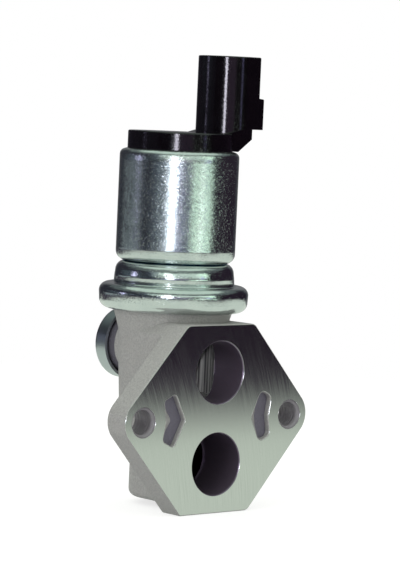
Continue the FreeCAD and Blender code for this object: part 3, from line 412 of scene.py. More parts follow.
@dataclass(frozen=True)
class CastAluminium:
    """Die-cast aluminium, glass-bead blasted, with a milled face and machined bores.

    The bead marks and the cutter's lines are finer than a pixel in life, so both are drawn
    a little coarser. The rings that the drill left in the bolt holes are drawn deeper.
    """

    casting: "Casting"
    name: str = "aluminium_die_cast_blasted_milled"
    blasted: Zone = Zone("#c0bfbd", roughness=0.55, metallic=0.25)
    blasted_shade: str = "#a9a8a8"
    milled: Zone = Zone("#dde1dc", roughness=0.15, metallic=1.0)
    milled_shade: str = "#c9cec9"
    milled_smoothest: float = 0.1
    # Machined bores. Their dark purple tint is painted shade, standing in for the dark walls that they mirror.
    bored_with_painted_shade: Zone = Zone("#75697b", roughness=0.3, metallic=0.5)
    # Painted shade: the deep stretch of the bores is painted near black, as the shade inside them.
    deep_bore_painted_shade: Zone = Zone("#1c1116", roughness=0.85, metallic=1.0)
    # The chamber's wall is painted with upright streaks of painted light and painted shade, standing in for
    # reflections.
    chamber: Zone = Zone("#efefef", roughness=0.3, metallic=0.3)
    chamber_painted_shade: str = "#6a686e"
    drilled: Zone = Zone("#9a969c", roughness=0.5, metallic=0.25)
    # Painted shade: the floors of the pockets in the face are painted darker, as the shade in these recesses.
    pocket_floor_painted_shade: Zone = Zone("#7c7886", roughness=0.55, metallic=0.25)
    # Painted shade: the rear neck under the cap is painted darker, as the cap's shade on it.
    neck: Zone = Zone("#6c6974", roughness=0.55, metallic=0.25)
    bead_mm: float = 0.5
    bead_depth_mm: float = 0.2
    bead_edges: tuple[float, float] = (0.35, 0.65)
    cloud_mm: float = 6.0
    cloud_share: float = 0.5
    mill_line_mm: float = 0.35
    mill_line_depth_mm: float = 0.006
    mill_line_edges: tuple[float, float] = (0.3, 0.7)
    mill_wave_mm: float = 14.0
    mill_centre_mm: tuple[float, float] = (-160.0, -45.0)
    drill_ring_mm: float = 1.0
    drill_ring_depth_mm: float = 1.0
    streak_mm: float = 1.1
    streak_stretch: float = 60.0
    streak_edges: tuple[float, float] = (0.4, 0.6)

    def make(self) -> bpy.types.Material:
        """Makes the material.

        Returns:
            Matte grey skin with a bead-blasted grain, a satin face with long milling lines
            that mirrors what stands before it, machined bores, pocket floors and a rear neck
            darkened with painted shade, and painted streaks of light on the chamber's wall.
        """
        skin = Skin(self.name)
        face = self.casting.face_mask(skin)
        bores = self.casting.bore_mask(skin)
        chamber = self.casting.chamber_mask(skin)
        holes = self.casting.bolt_hole_mask(skin)
        bead = skin.grain(self.bead_mm, detail=1.0)
        lines = self.mill_lines(skin)

        layers = Layers(skin, self.blasted, self.blasted_colour(skin, bead))
        layers.cover(self.casting.neck_mask(skin), self.neck)
        layers.cover(face, self.milled, skin.tint(lines, self.milled_shade, self.milled.colour),
                     skin.vary(lines, self.milled_smoothest, self.milled.roughness, *self.mill_line_edges))
        layers.cover(self.casting.pocket_mask(skin), self.pocket_floor_painted_shade)
        layers.cover(bores, self.bored_with_painted_shade)
        layers.cover(self.casting.tail_mask(skin, bores), self.deep_bore_painted_shade)
        layers.cover(chamber, self.chamber, self.painted_chamber_streaks(skin))
        layers.cover(holes, self.drilled)

        machined = face
        for mask in (bores, chamber, holes):
            machined = skin.join(machined, mask, Mask.EITHER)
        # Machined zones are level with the middle of the bead marks.
        blasting = skin.add("Mix", {0: machined, 2: bead, 3: 0.5})
        rings = skin.grain(self.drill_ring_mm, detail=1.0, place=skin.add("CombineXYZ", {0: skin.y}))
        normal = skin.relief(blasting, self.bead_depth_mm)
        normal = skin.relief(skin.join(lines, face, Mask.BOTH), self.mill_line_depth_mm, normal)
        normal = skin.relief(skin.join(rings, holes, Mask.BOTH), self.drill_ring_depth_mm, normal)
        return skin.finish(skin.add("BsdfPrincipled", {
            "Base Color": layers.colour, "Roughness": layers.roughness, "Metallic": layers.metallic,
            "Normal": normal}))

    def blasted_colour(self, skin: Skin, bead: Socket) -> Socket:
        """Colour of the raw skin, darker in the bead marks and slightly clouded.

        Args:
            skin: The surface's tree.
            bead: The pattern of the bead marks.

        Returns:
            The colour.
        """
        marks = skin.vary(bead, 0.0, 1.0, *self.bead_edges)
        marked = skin.tint(marks, self.blasted_shade, self.blasted.colour)
        cloud = skin.vary(skin.grain(self.cloud_mm, detail=4.0), 0.0, self.cloud_share)
        return skin.tint(cloud, marked, self.blasted.colour)

    def mill_lines(self, skin: Skin) -> Socket:
        """Long lines that a wide cutter left on the face.

        Args:
            skin: The surface's tree.

        Returns:
            The pattern, as arcs about a place far to the left of the flange.
        """
        sweep = skin.apart(skin.x, skin.z, self.mill_centre_mm)
        along = skin.add("Math", {0: skin.z, 1: self.mill_line_mm / self.mill_wave_mm}, operation="MULTIPLY")
        return skin.grain(self.mill_line_mm, detail=1.0, place=skin.add("CombineXYZ", {0: sweep, 2: along}))

    def painted_chamber_streaks(self, skin: Skin) -> Socket:
        """Colour of the chamber's wall, painted with upright streaks of light and shade that stand in for
        reflections of the port's opening.

        Args:
            skin: The surface's tree.

        Returns:
            The colour.
        """
        streaks = skin.grain(self.streak_mm, stretch=(1.0, 1.0, self.streak_stretch), detail=1.0)
        light = skin.vary(streaks, 0.0, 1.0, *self.streak_edges)
        return skin.tint(light, self.chamber_painted_shade, self.chamber.colour)


@dataclass(frozen=True)
class ZincSteel:
    """Deep-drawn steel sheet, barrel plated with bright zinc and clear passivated.

    The zinc's crystals are drawn coarser than in life, wide enough for the render to show.
    """

    name: str
    foot_mm: float = 0.0
    domes: tuple[Dome, ...] = ()
    zinc: str = "#e6edea"
    zinc_shade: str = "#cdd6d5"
    crystal_mm: float = 0.26
    crystal_tilt: float = 0.06
    sparkle_tilt: float = 0.32
    sparkle_share: float = 0.2
    sparkle_roughness: float = 0.13
    wave_mm: float = 4.0
    wave_depth_mm: float = 0.03
    cloud_mm: float = 5.0
    low_roughness: float = 0.2
    high_roughness: float = 0.26
    cloud_edges: tuple[float, float] = (0.3, 0.7)
    # Painted reflection: the face that looks up is painted blue, as the zinc above it is mirrored there.
    ledge_painted_reflection: str = "#5d8aa6"
    ledge_mm: float | None = None

    def make(self) -> bpy.types.Material:
        """Makes the material.

        Returns:
            Bright greenish-white metal. Its crystals sparkle beside each highlight and break
            its edge into speckles, the drawing's slow waves bend the reflections, and a step
            that faces up is painted blue, a painted reflection of the zinc above it.
        """
        skin = Skin(self.name)
        cloud = skin.grain(self.cloud_mm, detail=4.0)
        colour = skin.tint(cloud, self.zinc_shade, self.zinc)
        if self.ledge_mm is not None:
            colour = skin.tint(skin.beyond(skin.z, self.foot_mm + self.ledge_mm), colour, self.ledge_painted_reflection)
        rough = skin.vary(cloud, self.low_roughness, self.high_roughness, *self.cloud_edges)
        normal = skin.add("NewGeometry", out="Normal")
        for shape in self.domes:
            normal = skin.dome(shape, self.foot_mm, normal)
        normal = skin.relief(skin.grain(self.wave_mm, detail=0.0), self.wave_depth_mm, normal)
        plain = skin.add("BsdfPrincipled", {
            "Base Color": colour, "Roughness": rough, "Metallic": 1.0,
            "Normal": skin.facets(self.crystal_mm, self.crystal_tilt, normal)})
        sparkling = skin.add("BsdfPrincipled", {
            "Base Color": colour, "Roughness": self.sparkle_roughness, "Metallic": 1.0,
            "Normal": skin.facets(self.crystal_mm, self.sparkle_tilt, normal)})
        return skin.finish(skin.add("MixShader", {0: self.sparkle_share, 1: plain, 2: sparkling}))


@dataclass(frozen=True)
class GlossPlastic:
    """Glass-filled polyester, injection moulded in a polished tool.

    The glass fibres are drawn coarser than in life, so that they show in the render.
    """

    name: str = "polyester_moulded_gloss_black"
    black: str = "#060407"
    black_warm: str = "#100a10"
    cloud_mm: float = 4.0
    low_roughness: float = 0.08
    high_roughness: float = 0.14
    fibre_mm: float = 0.3
    fibre_tilt: float = 0.025
    draft_slope: float = 0.035
    ior: float = 1.66

    def make(self) -> bpy.types.Material:
        """Makes the material.

        Returns:
            Near-black gloss with a faint purple cast, whose fibres break the edges of each
            highlight into specks and whose draft tips the reflections slightly upward.
        """
        skin = Skin(self.name)
        cloud = skin.grain(self.cloud_mm, detail=3.0)
        drafted = skin.lean(skin.add("NewGeometry", out="Normal"), (0.0, 0.0, self.draft_slope))
        surface = skin.add("BsdfPrincipled", {
            "Base Color": skin.tint(cloud, self.black, self.black_warm),
            "Roughness": skin.vary(cloud, self.low_roughness, self.high_roughness),
            "IOR": self.ior, "Normal": skin.facets(self.fibre_mm, self.fibre_tilt, drafted)})
        return skin.finish(surface)


@dataclass(frozen=True)
class WorkedMetal:
    """Bare metal that was turned, ground, drawn or stamped, with fine lines across it."""

    name: str
    colour: str
    shade: str
    line_mm: float = 0.3
    line_depth_mm: float = 0.01
    low_roughness: float = 0.24
    high_roughness: float = 0.38

    def make(self) -> bpy.types.Material:
        """Makes the material.

        Returns:
            Satin metal with fine level lines, each a little lighter or darker.
        """
        skin = Skin(self.name)
        lines = skin.grain(self.line_mm, detail=2.0, place=skin.add("CombineXYZ", {2: skin.z}))
        surface = skin.add("BsdfPrincipled", {
            "Base Color": skin.tint(lines, self.shade, self.colour),
            "Roughness": skin.vary(lines, self.low_roughness, self.high_roughness),
            "Metallic": 1.0, "Normal": skin.relief(lines, self.line_depth_mm)})
        return skin.finish(surface)


@dataclass(frozen=True)
class MattePiece:
    """Moulded plastic or rubber, which has no bare metal."""

    name: str
    colour: str
    shade: str
    grain_mm: float
    grain_depth_mm: float
    low_roughness: float
    high_roughness: float
    grains_a_cloud: float = 8.0
    ior: float = 1.5

    def make(self) -> bpy.types.Material:
        """Makes the material.

        Returns:
            A dull surface with a fine grain and slightly clouded colour.
        """
        skin = Skin(self.name)
        grain = skin.grain(self.grain_mm, detail=3.0)
        cloud = skin.grain(self.grain_mm * self.grains_a_cloud, detail=2.0)
        surface = skin.add("BsdfPrincipled", {
            "Base Color": skin.tint(cloud, self.shade, self.colour),
            "Roughness": skin.vary(grain, self.low_roughness, self.high_roughness),
            "IOR": self.ior, "Normal": skin.relief(grain, self.grain_depth_mm)})
        return skin.finish(surface)


@dataclass(frozen=True)
class WoundWire:
    """Enamelled copper wire wound in level layers."""

    name: str = "copper_wire_enamelled_wound"
    colour: str = "#b4622f"
    # Painted shade: the colour between the turns is darkened, as the shade in the grooves.
    shade: str = "#6d3217"
    wire_mm: float = 0.45
    groove_mm: float = 0.15
    roughness: float = 0.3
    metallic: float = 0.7

    def make(self) -> bpy.types.Material:
        """Makes the material.

        Returns:
            Rows of round glossy turns, dark between them.
        """
        skin = Skin(self.name)
        turns = 2 * math.pi / (self.wire_mm * MM)
        phase = skin.add("Math", {0: skin.z, 1: turns}, operation="MULTIPLY")
        wave = skin.add("Math", {0: phase}, operation="SINE")
        turn = skin.vary(wave, 0.0, 1.0, -1.0, 1.0)
        surface = skin.add("BsdfPrincipled", {
            "Base Color": skin.tint(turn, self.shade, self.colour), "Roughness": self.roughness,
            "Metallic": self.metallic, "Normal": skin.relief(turn, self.groove_mm)})
        return skin.finish(surface)


SOFT_IRON = WorkedMetal("soft_iron_turned", "#8d8d8f", "#77777a")
BRONZE = WorkedMetal("bronze_turned", "#b18a4f", "#94713e")
TURNED_ALUMINIUM = WorkedMetal("aluminium_turned", "#bdbdbd", "#a8a8a8")
STAINLESS = WorkedMetal("stainless_steel_ground", "#c2c1bd", "#a9a8a5",
                        line_mm=0.2, low_roughness=0.16, high_roughness=0.3)
SPRING_STEEL = WorkedMetal("spring_steel_drawn", "#b5b4b1", "#9c9b99",
                           line_mm=0.2, low_roughness=0.19, high_roughness=0.33)
TINNED_BRASS = WorkedMetal("brass_stamped_tin_plated", "#cfccc3", "#b9b6ad",
                           line_mm=0.4, low_roughness=0.19, high_roughness=0.33)
RUBBER = MattePiece("nitrile_rubber_moulded", "#1c1c1c", "#141414", grain_mm=0.3,
                    grain_depth_mm=0.01, low_roughness=0.47, high_roughness=0.63)
NYLON = MattePiece("nylon_glass_filled_moulded", "#c9c2ab", "#b9b299", grain_mm=0.4,
                   grain_depth_mm=0.008, low_roughness=0.42, high_roughness=0.58)


class SubAssembly(ABC):
    """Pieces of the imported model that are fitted, and dressed, together."""

    @abstractmethod
    def finishes(self) -> Mapping[Finish, tuple[str, ...]]:
        """The sub-assembly's finishes, with the nodes that have each."""

    def dress(self) -> None:
        """Gives each node its finish."""
        for finish, names in self.finishes().items():
            material = material_of(finish)
            for name in names:
                piece = frame["nodes"][name]
                piece.data.materials.clear()
                piece.data.materials.append(material)
                LOG.info("%s: %s", name, material.name)


@dataclass(frozen=True)
class Casting(SubAssembly):
    """The die-cast body, the seat pressed into it and the seal on its collar.

    Its sizes bound the machined zones, with radii a little wider than the bores.
    """

    axis_mm: float = AXIS_MM
    face_depth_mm: float = 0.05
    port_height_mm: float = in_mm(Vector(mount("upper_port")["pos_m"]).z)
    port_radius_mm: float = 9.6
    port_depth_mm: float = 23.0
    tail_start_mm: float = 16.2
    tail_bore_mm: float = 9.1
    chamber_radius_mm: float = 13.4
    chamber_floor_mm: float = 4.8
    bolt_place_mm: float = mount("flange_bolts")["dims"]["spacing_x_mm"] / 2
    bolt_radius_mm: float = 4.7
    pocket_floor_mm: float = 1.7
    pocket_floor_depth_mm: float = 0.2
    pocket_reach_mm: float = 23.5
    pocket_half_mm: float = 9.0
    neck_height_mm: float = in_mm(middle("rear_cap").z)
    neck_start_mm: float = 38.5
    neck_radius_mm: float = 10.4

    def finishes(self) -> Mapping[Finish, tuple[str, ...]]:
        """The finishes of the body, the seat and the seal."""
        return {CastAluminium(self): ("valve_body",), STAINLESS: ("seat_ring",), RUBBER: ("body_seal",)}

    def face_mask(self, skin: Skin) -> Socket:
        """Mask of the flange's milled face."""
        return skin.outside(skin.beyond(skin.y, self.face_depth_mm))

    def bore_mask(self, skin: Skin) -> Socket:
        """Mask of the ports' bores and of the chamber behind the lower one.

        Args:
            skin: The surface's tree.

        Returns:
            The mask.
        """
        before = skin.band(skin.y, self.face_depth_mm, self.port_depth_mm)
        below = skin.outside(skin.beyond(skin.z, self.chamber_floor_mm))
        bores = skin.cylinder(skin.x, skin.y, (0.0, self.axis_mm), self.tail_bore_mm, below)
        for height_mm in (self.port_height_mm, -self.port_height_mm):
            port = skin.cylinder(skin.x, skin.z, (0.0, height_mm), self.port_radius_mm, before)
            bores = skin.join(bores, port, Mask.EITHER)
        return bores

    def tail_mask(self, skin: Skin, bores: Socket) -> Socket:
        """Mask of the bores' stretch that lies deep inside the tail, which is painted near black as shade."""
        return skin.join(bores, skin.beyond(skin.y, self.tail_start_mm), Mask.BOTH)

    def chamber_mask(self, skin: Skin) -> Socket:
        """Mask of the upper chamber's wall and floor."""
        above = skin.beyond(skin.z, self.chamber_floor_mm)
        return skin.cylinder(skin.x, skin.y, (0.0, self.axis_mm), self.chamber_radius_mm, above)

    def bolt_hole_mask(self, skin: Skin) -> Socket:
        """Mask of the two bolt holes with their chamfers.

        Args:
            skin: The surface's tree.

        Returns:
            The mask.
        """
        across = skin.add("Math", {0: skin.x}, operation="ABSOLUTE")
        behind_face = skin.beyond(skin.y, self.face_depth_mm)
        return skin.cylinder(across, skin.z, (self.bolt_place_mm, 0.0), self.bolt_radius_mm, behind_face)

    def pocket_mask(self, skin: Skin) -> Socket:
        """Mask of the floors of the two pockets in the face, which get painted shade.

        Args:
            skin: The surface's tree.

        Returns:
            The mask.
        """
        across = skin.add("Math", {0: skin.x}, operation="ABSOLUTE")
        up = skin.add("Math", {0: skin.z}, operation="ABSOLUTE")
        inside = skin.join(skin.outside(skin.beyond(across, self.pocket_reach_mm)),
                           skin.outside(skin.beyond(up, self.pocket_half_mm)), Mask.BOTH)
        lowest_mm = self.pocket_floor_mm + self.pocket_floor_depth_mm
        return skin.join(inside, skin.band(skin.y, self.pocket_floor_mm, lowest_mm), Mask.BOTH)

    def neck_mask(self, skin: Skin) -> Socket:
        """Mask of the rear neck, which the cap shades."""
        behind = skin.beyond(skin.y, self.neck_start_mm)
        return skin.cylinder(skin.x, skin.z, (0.0, self.neck_height_mm), self.neck_radius_mm, behind)


@dataclass(frozen=True)
class RearCap(SubAssembly):
    """The pressed cap on the casting's rear neck, and the gasket under it."""

    sheet: str = "steel_pressed_zinc_plated_smooth"
    zinc: str = "#c9d0d2"
    zinc_shade: str = "#b5bdc0"

    def finishes(self) -> Mapping[Finish, tuple[str, ...]]:
        """The finishes of the cap and the gasket.

        Returns:
            Each finish with its nodes. The cap is only pressed, so its zinc has no sparkle.
        """
        cap = ZincSteel(self.sheet, zinc=self.zinc, zinc_shade=self.zinc_shade, crystal_tilt=0.02,
                        sparkle_share=0.0, low_roughness=0.28, high_roughness=0.33)
        return {cap: ("rear_cap",), RUBBER: ("cap_gasket",)}


@dataclass(frozen=True)
class MountingCup(SubAssembly):
    """The drawn cup, a short drum whose wide edge is rolled round the casting's collar."""

    sheet: str = "steel_deep_drawn_zinc_plated"
    foot_mm: float = in_mm(lowest("mounting_cup").z)
    rolled_edge: tuple[Dome, ...] = (
        Dome(0.2, 3.6, -0.16, -0.12),
        Dome(3.6, 4.7, -0.12, -0.02),
        Dome(4.7, 5.4, -0.02, 0.05),
    )
    drum_wall: tuple[Dome, ...] = (
        Dome(8.3, 9.8, -0.24, -0.26),
        Dome(9.8, 10.6, -0.26, 0.0),
        Dome(10.6, 12.7, 0.0, 0.12),
    )
    # Height above the foot where the painted blue reflection on the upward-facing step begins.
    ledge_mm: float = 14.4

    def finishes(self) -> Mapping[Finish, tuple[str, ...]]:
        """The finish of the cup.

        Returns:
            The finish with its node. The cup is smoother than the can and sparkles less.
        """
        cup = ZincSteel(self.sheet, self.foot_mm, self.rolled_edge + self.drum_wall, ledge_mm=self.ledge_mm,
                        low_roughness=0.13, high_roughness=0.18, sparkle_share=0.1)
        return {cup: ("mounting_cup",)}


@dataclass(frozen=True)
class Solenoid(SubAssembly):
    """The can, the plate under it and the coil with its iron and bronze parts."""

    sheet: str = "steel_drawn_bright_zinc_plated"
    foot_mm: float = in_mm(lowest("solenoid_can").z)
    lower_bend: tuple[Dome, ...] = (
        Dome(2.0, 3.0, 0.0, -0.2),
        Dome(3.0, 3.5, -0.2, -0.2),
        Dome(3.5, 4.1, -0.2, 0.0),
    )
    upper_bend: tuple[Dome, ...] = (
        Dome(30.2, 32.0, 0.02, 0.16),
        Dome(32.0, 32.4, 0.16, 0.0),
    )

    def finishes(self) -> Mapping[Finish, tuple[str, ...]]:
        """The finishes of the can and the plate, and of what the can holds.

        Returns:
            Each finish with its nodes.
        """
        can = ZincSteel(self.sheet, self.foot_mm, self.lower_bend + self.upper_bend)
        return {
            can: ("solenoid_can", "guide_plate"),
            SOFT_IRON: ("lower_flux_washer", "upper_flux_washer", "pole_core"),
            BRONZE: ("stem_bush", "guide_tube", "pole_shim", "preload_screw"),
            NYLON: ("coil_bobbin",),
            WoundWire(): ("coil_winding",),
        }


@dataclass(frozen=True)
class Connector(SubAssembly):
    """The moulded cover with its connector shell, the two blades and the seal."""

    def finishes(self) -> Mapping[Finish, tuple[str, ...]]:
        """The finishes of the cover, the blades and the seal."""
        return {GlossPlastic(): ("connector_cover",), TINNED_BRASS: ("terminal_left", "terminal_right"),
                RUBBER: ("cover_seal",)}


@dataclass(frozen=True)
class Plunger(SubAssembly):
    """What the solenoid lifts: armature, stem and poppet with its seal and clip."""

    def finishes(self) -> Mapping[Finish, tuple[str, ...]]:
        """The finishes of the moving pieces."""
        return {SOFT_IRON: ("armature",), STAINLESS: ("valve_stem", "poppet_clip"),
                TURNED_ALUMINIUM: ("poppet",), RUBBER: ("poppet_seal",)}


@dataclass(frozen=True)
class ReturnSpring:
    """The coil spring over the armature, of round wire with closed ends.

    It is built at one length and rides with the housing.
    """

    wire_mm: float = 0.6
    radius_mm: float = 2.3
    foot_mm: float = 53.5
    head_mm: float = 70.5
    turns: float = 6.5
    closed_turns: float = 1.0
    axis_offset_mm: float = AXIS_MM
    stroke_mm: float = in_mm(frame["joints"][0]["range_m"][1])
    steps_a_turn: int = 32
    wire_sides: int = 10
    finish: WorkedMetal = SPRING_STEEL

    def rise(self, turn: float) -> float:
        """Height of the wire's middle after some turns.

        Args:
            turn: Turns from the lower end.

        Returns:
            The height in millimetres.
        """
        low = self.foot_mm + self.wire_mm / 2
        high = self.head_mm - self.wire_mm / 2
        closed_rise = self.closed_turns * self.wire_mm
        open_turns = self.turns - 2 * self.closed_turns
        pitch = (high - low - 2 * closed_rise) / open_turns
        if turn < self.closed_turns:
            return low + turn * self.wire_mm
        if turn > self.turns - self.closed_turns:
            return high - (self.turns - turn) * self.wire_mm
        return low + closed_rise + (turn - self.closed_turns) * pitch

    def ring(self, turn: float) -> list[tuple[float, float, float]]:
        """Points round the wire at one place along it.

        Args:
            turn: Turns from the lower end.

        Returns:
            The points, in metres.
        """
        angle = 2 * math.pi * turn
        points = []
        for side in range(self.wire_sides):
            around = 2 * math.pi * side / self.wire_sides
            reach = self.radius_mm + self.wire_mm / 2 * math.cos(around)
            height = self.rise(turn) + self.wire_mm / 2 * math.sin(around)
            points.append((reach * math.cos(angle) * MM, (self.axis_offset_mm + reach * math.sin(angle)) * MM,
                           height * MM))
        return points

    def mesh(self) -> bpy.types.Mesh:
        """Makes the wire's mesh.

        Returns:
            A closed tube along the coil.
        """
        steps = round(self.turns * self.steps_a_turn)
        wire = bmesh.new()
        rings = [[wire.verts.new(point) for point in self.ring(self.turns * step / steps)]
                 for step in range(steps + 1)]
        for first, second in zip(rings, rings[1:]):
            for side in range(self.wire_sides):
                after = (side + 1) % self.wire_sides
                wire.faces.new((first[side], second[side], second[after], first[after]))
        wire.faces.new(rings[0])
        wire.faces.new(reversed(rings[-1]))
        bmesh.ops.recalc_face_normals(wire, faces=wire.faces)
        data = bpy.data.meshes.new("return_spring_coil")
        wire.to_mesh(data)
        wire.free()
        data.polygons.foreach_set("use_smooth", [True] * len(data.polygons))
        return data

    def build(self) -> None:
        """Builds and dresses the coil, which rides with the housing at one length."""
        coil = bpy.data.objects.new("return_spring_coil", self.mesh())
        coil.data.materials.append(material_of(self.finish))
        bpy.context.collection.objects.link(coil)
        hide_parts("return_spring")
        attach(coil, "housing")
        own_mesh(coil)
        LOG.info("%s: %s", coil.name, self.finish.name)


@dataclass(frozen=True)
class Card:
    """A screen or lamp of the light tent, seen only in shiny surfaces.

    Angles are in degrees: left and right from the camera's own direction, as its picture
    shows them, and low and high from the horizon. Each edge fades over its soft angle.
    """

    colour: str
    left: float = -200.0
    right: float = 200.0
    low: float = -100.0
    high: float = 100.0
    side_soft: float = 4.0
    edge_soft: float = 1.0
    power: float = 1.0


@dataclass(frozen=True)
class Floor:
    """A pale round floor that stays white to the camera and keeps a soft shadow.

    In shiny surfaces it is pale near the valve and dark further out. The fade before the
    flange has distances of its own.
    """

    gap_mm: float = 0.1
    radius_mm: float = 420.0
    sides: int = 96
    near_mm: float = 222.0
    dark_mm: float = 290.0
    near_front_mm: float = 130.0
    dark_front_mm: float = 258.0
    front_blend_mm: float = 60.0
    near: str = "#d8e0d6"
    far: str = "#2f2036"
    dull: str = "#b4adb8"
    shaded: str = "#b4b4b4"
    glow: str = "#ffffff"
    glow_strength: float = 0.72

    def build(self) -> None:
        """Lays the floor a little below the valve."""
        height = Vector(CAD_BOX[0]).z - self.gap_mm * MM
        bpy.ops.mesh.primitive_circle_add(vertices=self.sides, radius=self.radius_mm * MM, fill_type="NGON",
                                          location=(0, 0, height))
        floor = bpy.context.object
        floor.name = "floor"
        floor.data.materials.append(self.material())

    def material(self) -> bpy.types.Material:
        """Makes the floor's material.

        Returns:
            One look for the camera, one in shiny surfaces and one for the light that the
            floor sends back to dull ones.
        """
        skin = Skin("floor_pale")
        glow = skin.add("Emission", {"Color": linear(self.glow), "Strength": self.glow_strength})
        shaded = skin.add("BsdfDiffuse", {"Color": linear(self.shaded)})
        seen = skin.add("AddShader", {0: shaded, 1: glow})
        dull = skin.add("BsdfDiffuse", {"Color": linear(self.dull)})
        mirrored = skin.add("Emission", {"Color": skin.tint(self.fade(skin), self.near, self.far)})
        path = skin.add("LightPath").node
        surface = skin.add("MixShader", {0: path.outputs["Is Camera Ray"], 1: dull, 2: seen})
        surface = skin.add("MixShader", {0: path.outputs["Is Glossy Ray"], 1: surface, 2: mirrored})
        return skin.finish(surface)

    def fade(self, skin: Skin) -> Socket:
        """How far the floor has gone from pale to dark in shiny surfaces.

        Args:
            skin: The floor's tree.

        Returns:
            Zero near the valve and one far out.
        """
        reach = skin.apart(skin.x, skin.y, (0.0, 0.0))
        around = skin.vary(reach, 0.0, 1.0, self.near_mm * MM, self.dark_mm * MM)
        ahead = skin.vary(skin.y, 1.0, 0.0, -self.dark_front_mm * MM, -self.near_front_mm * MM)
        front = skin.vary(skin.x, 0.0, 1.0, 0.0, self.front_blend_mm * MM)
        return skin.add("Mix", {0: front, 2: around, 3: ahead})


@dataclass(frozen=True)
class Tent:
    """The light tent: soft light for dull surfaces, and cards on dark cloth for shiny ones."""

    soft_light: str = "#e6e9e2"
    backdrop: str = "#ffffff"
    cloth: str = "#2c2c35"
    facing_degrees: float = -131.5
    cards: tuple[Card, ...] = (
        # Grey screens behind the valve, mirrored by the far edges of its round walls.
        Card("#77777a", left=162, side_soft=16),
        Card("#77777a", right=-162, side_soft=16),
        # Dark cloth far on the right.
        Card("#231927", left=72, right=150, side_soft=10),
        # Blue-grey screens on the left and before the valve.
        Card("#6d7888", left=-46, right=0, side_soft=22),
        Card("#9fb0c4", left=-22, right=-2, side_soft=8),
        Card("#8b91b6", left=-4, right=12, side_soft=5),
        Card("#626d83", left=13, right=26, side_soft=5),
        # The green-white screen that the flange's face mirrors, with a brighter lamp in it.
        Card("#dcf8e3", left=27, right=70, side_soft=6, power=1.6),
        Card("#f4fff8", left=45, right=50, side_soft=3, power=3.0),
        # The black gap above the table's edge, with the screens that show in it.
        Card("#0e0d12", left=-52, right=78, low=0.3, high=10.5, side_soft=8, edge_soft=0.6),
        Card("#86748c", left=-2, right=30, low=1.8, high=10.5, side_soft=10),
        Card("#b8b4f0", left=54, right=60, low=3.0, high=10.5, side_soft=3, power=1.5),
        # The tall strip lamp whose highlight runs down the can and the connector.
        Card("#eef4ff", left=-16, right=-6, high=2.0, side_soft=8, edge_soft=0.6, power=5.0),
        Card("#f2efff", left=-11, right=-3, low=2.0, high=10.5, side_soft=1.5, edge_soft=0.6, power=12.5),
        # The dim left wall and its narrow lamp.
        Card("#48525a", left=-120, right=-62, low=3.0, high=10.5, side_soft=14),
        Card("#c9c4ea", left=-88, right=-80, low=3.8, high=10.5, side_soft=4, edge_soft=0.6, power=3.2),
        # The roof, which the walls that lean up mirror.
        Card("#d6e8dc", left=-34, right=54, low=10.5, side_soft=16, edge_soft=2.0),
        Card("#ffffff", left=-16, right=-4, low=10.5, high=26, side_soft=4, edge_soft=2.0, power=2.5),
        Card("#5d6566", low=30, edge_soft=6),
        Card("#cfe0d4", low=48, edge_soft=8),
        # Below the horizon, past the floor.
        Card("#33293a", high=-8.0, edge_soft=1.2),
        Card("#a8b4b8", left=-130, right=-75, low=-16, high=-4.6, side_soft=10, edge_soft=1.5),
    )

    def build(self) -> None:
        """Makes the world, white to the camera."""
        world = bpy.data.worlds.new("tent")
        world.use_nodes = True
        bpy.context.scene.world = world
        tree = world.node_tree
        tree.nodes.clear()
        axes = add_node(tree, "SeparateXYZ", {0: add_node(tree, "TexCoord", out="Generated")}).node
        turn = add_node(tree, "Math", {0: axes.outputs[1], 1: axes.outputs[0]}, operation="ARCTAN2")
        facing = math.radians(self.facing_degrees)
        shifted = add_node(tree, "Math", {0: turn, 1: facing}, operation="SUBTRACT")
        side = add_node(tree, "Math", {0: shifted, 1: math.pi, 2: -math.pi}, operation="WRAP")
        rise = add_node(tree, "Math", {0: axes.outputs[2]}, operation="ARCSINE")
        tent = linear(self.cloth)
        for card in self.cards:
            tent = self.add_card(tree, card, side, rise, tent)
        path = add_node(tree, "LightPath").node
        shiny = add_node(tree, "Mix", {0: path.outputs["Is Glossy Ray"], 6: linear(self.soft_light), 7: tent},
                         out=2, data_type="RGBA")
        seen = add_node(tree, "Mix", {0: path.outputs["Is Camera Ray"], 6: shiny, 7: linear(self.backdrop)},
                        out=2, data_type="RGBA")
        background = add_node(tree, "Background", {"Color": seen, "Strength": 1.0})
        output = tree.nodes.new("ShaderNodeOutputWorld")
        tree.links.new(background, output.inputs["Surface"])

    def add_card(self, tree: bpy.types.NodeTree, card: Card, side: Socket, rise: Socket,
                 behind: Any) -> Socket:
        """Hangs a card before what the tent shows so far.

        Args:
            tree: The world's tree.
            card: The card.
            side: Angle to the right of the camera, in radians.
            rise: Angle above the horizon, in radians.
            behind: Colour of what hangs behind the card.

        Returns:
            The tent's colour with the card in it.
        """
        mask: Any = 1.0
        edges = ((side, card.left, 1, card.side_soft), (side, card.right, -1, card.side_soft),
                 (rise, card.low, 1, card.edge_soft), (rise, card.high, -1, card.edge_soft))
        for angle, limit, way, soft in edges:
            start = math.radians(limit - way * soft / 2)
            stop = math.radians(limit + way * soft / 2)
            edge = add_node(tree, "MapRange", {0: angle, 1: start, 2: stop})
            mask = add_node(tree, "Math", {0: mask, 1: edge}, operation="MULTIPLY")
        red, green, blue, alpha = linear(card.colour)
        light = (red * card.power, green * card.power, blue * card.power, alpha)
        return add_node(tree, "Mix", {0: mask, 6: behind, 7: light}, out=2, data_type="RGBA")


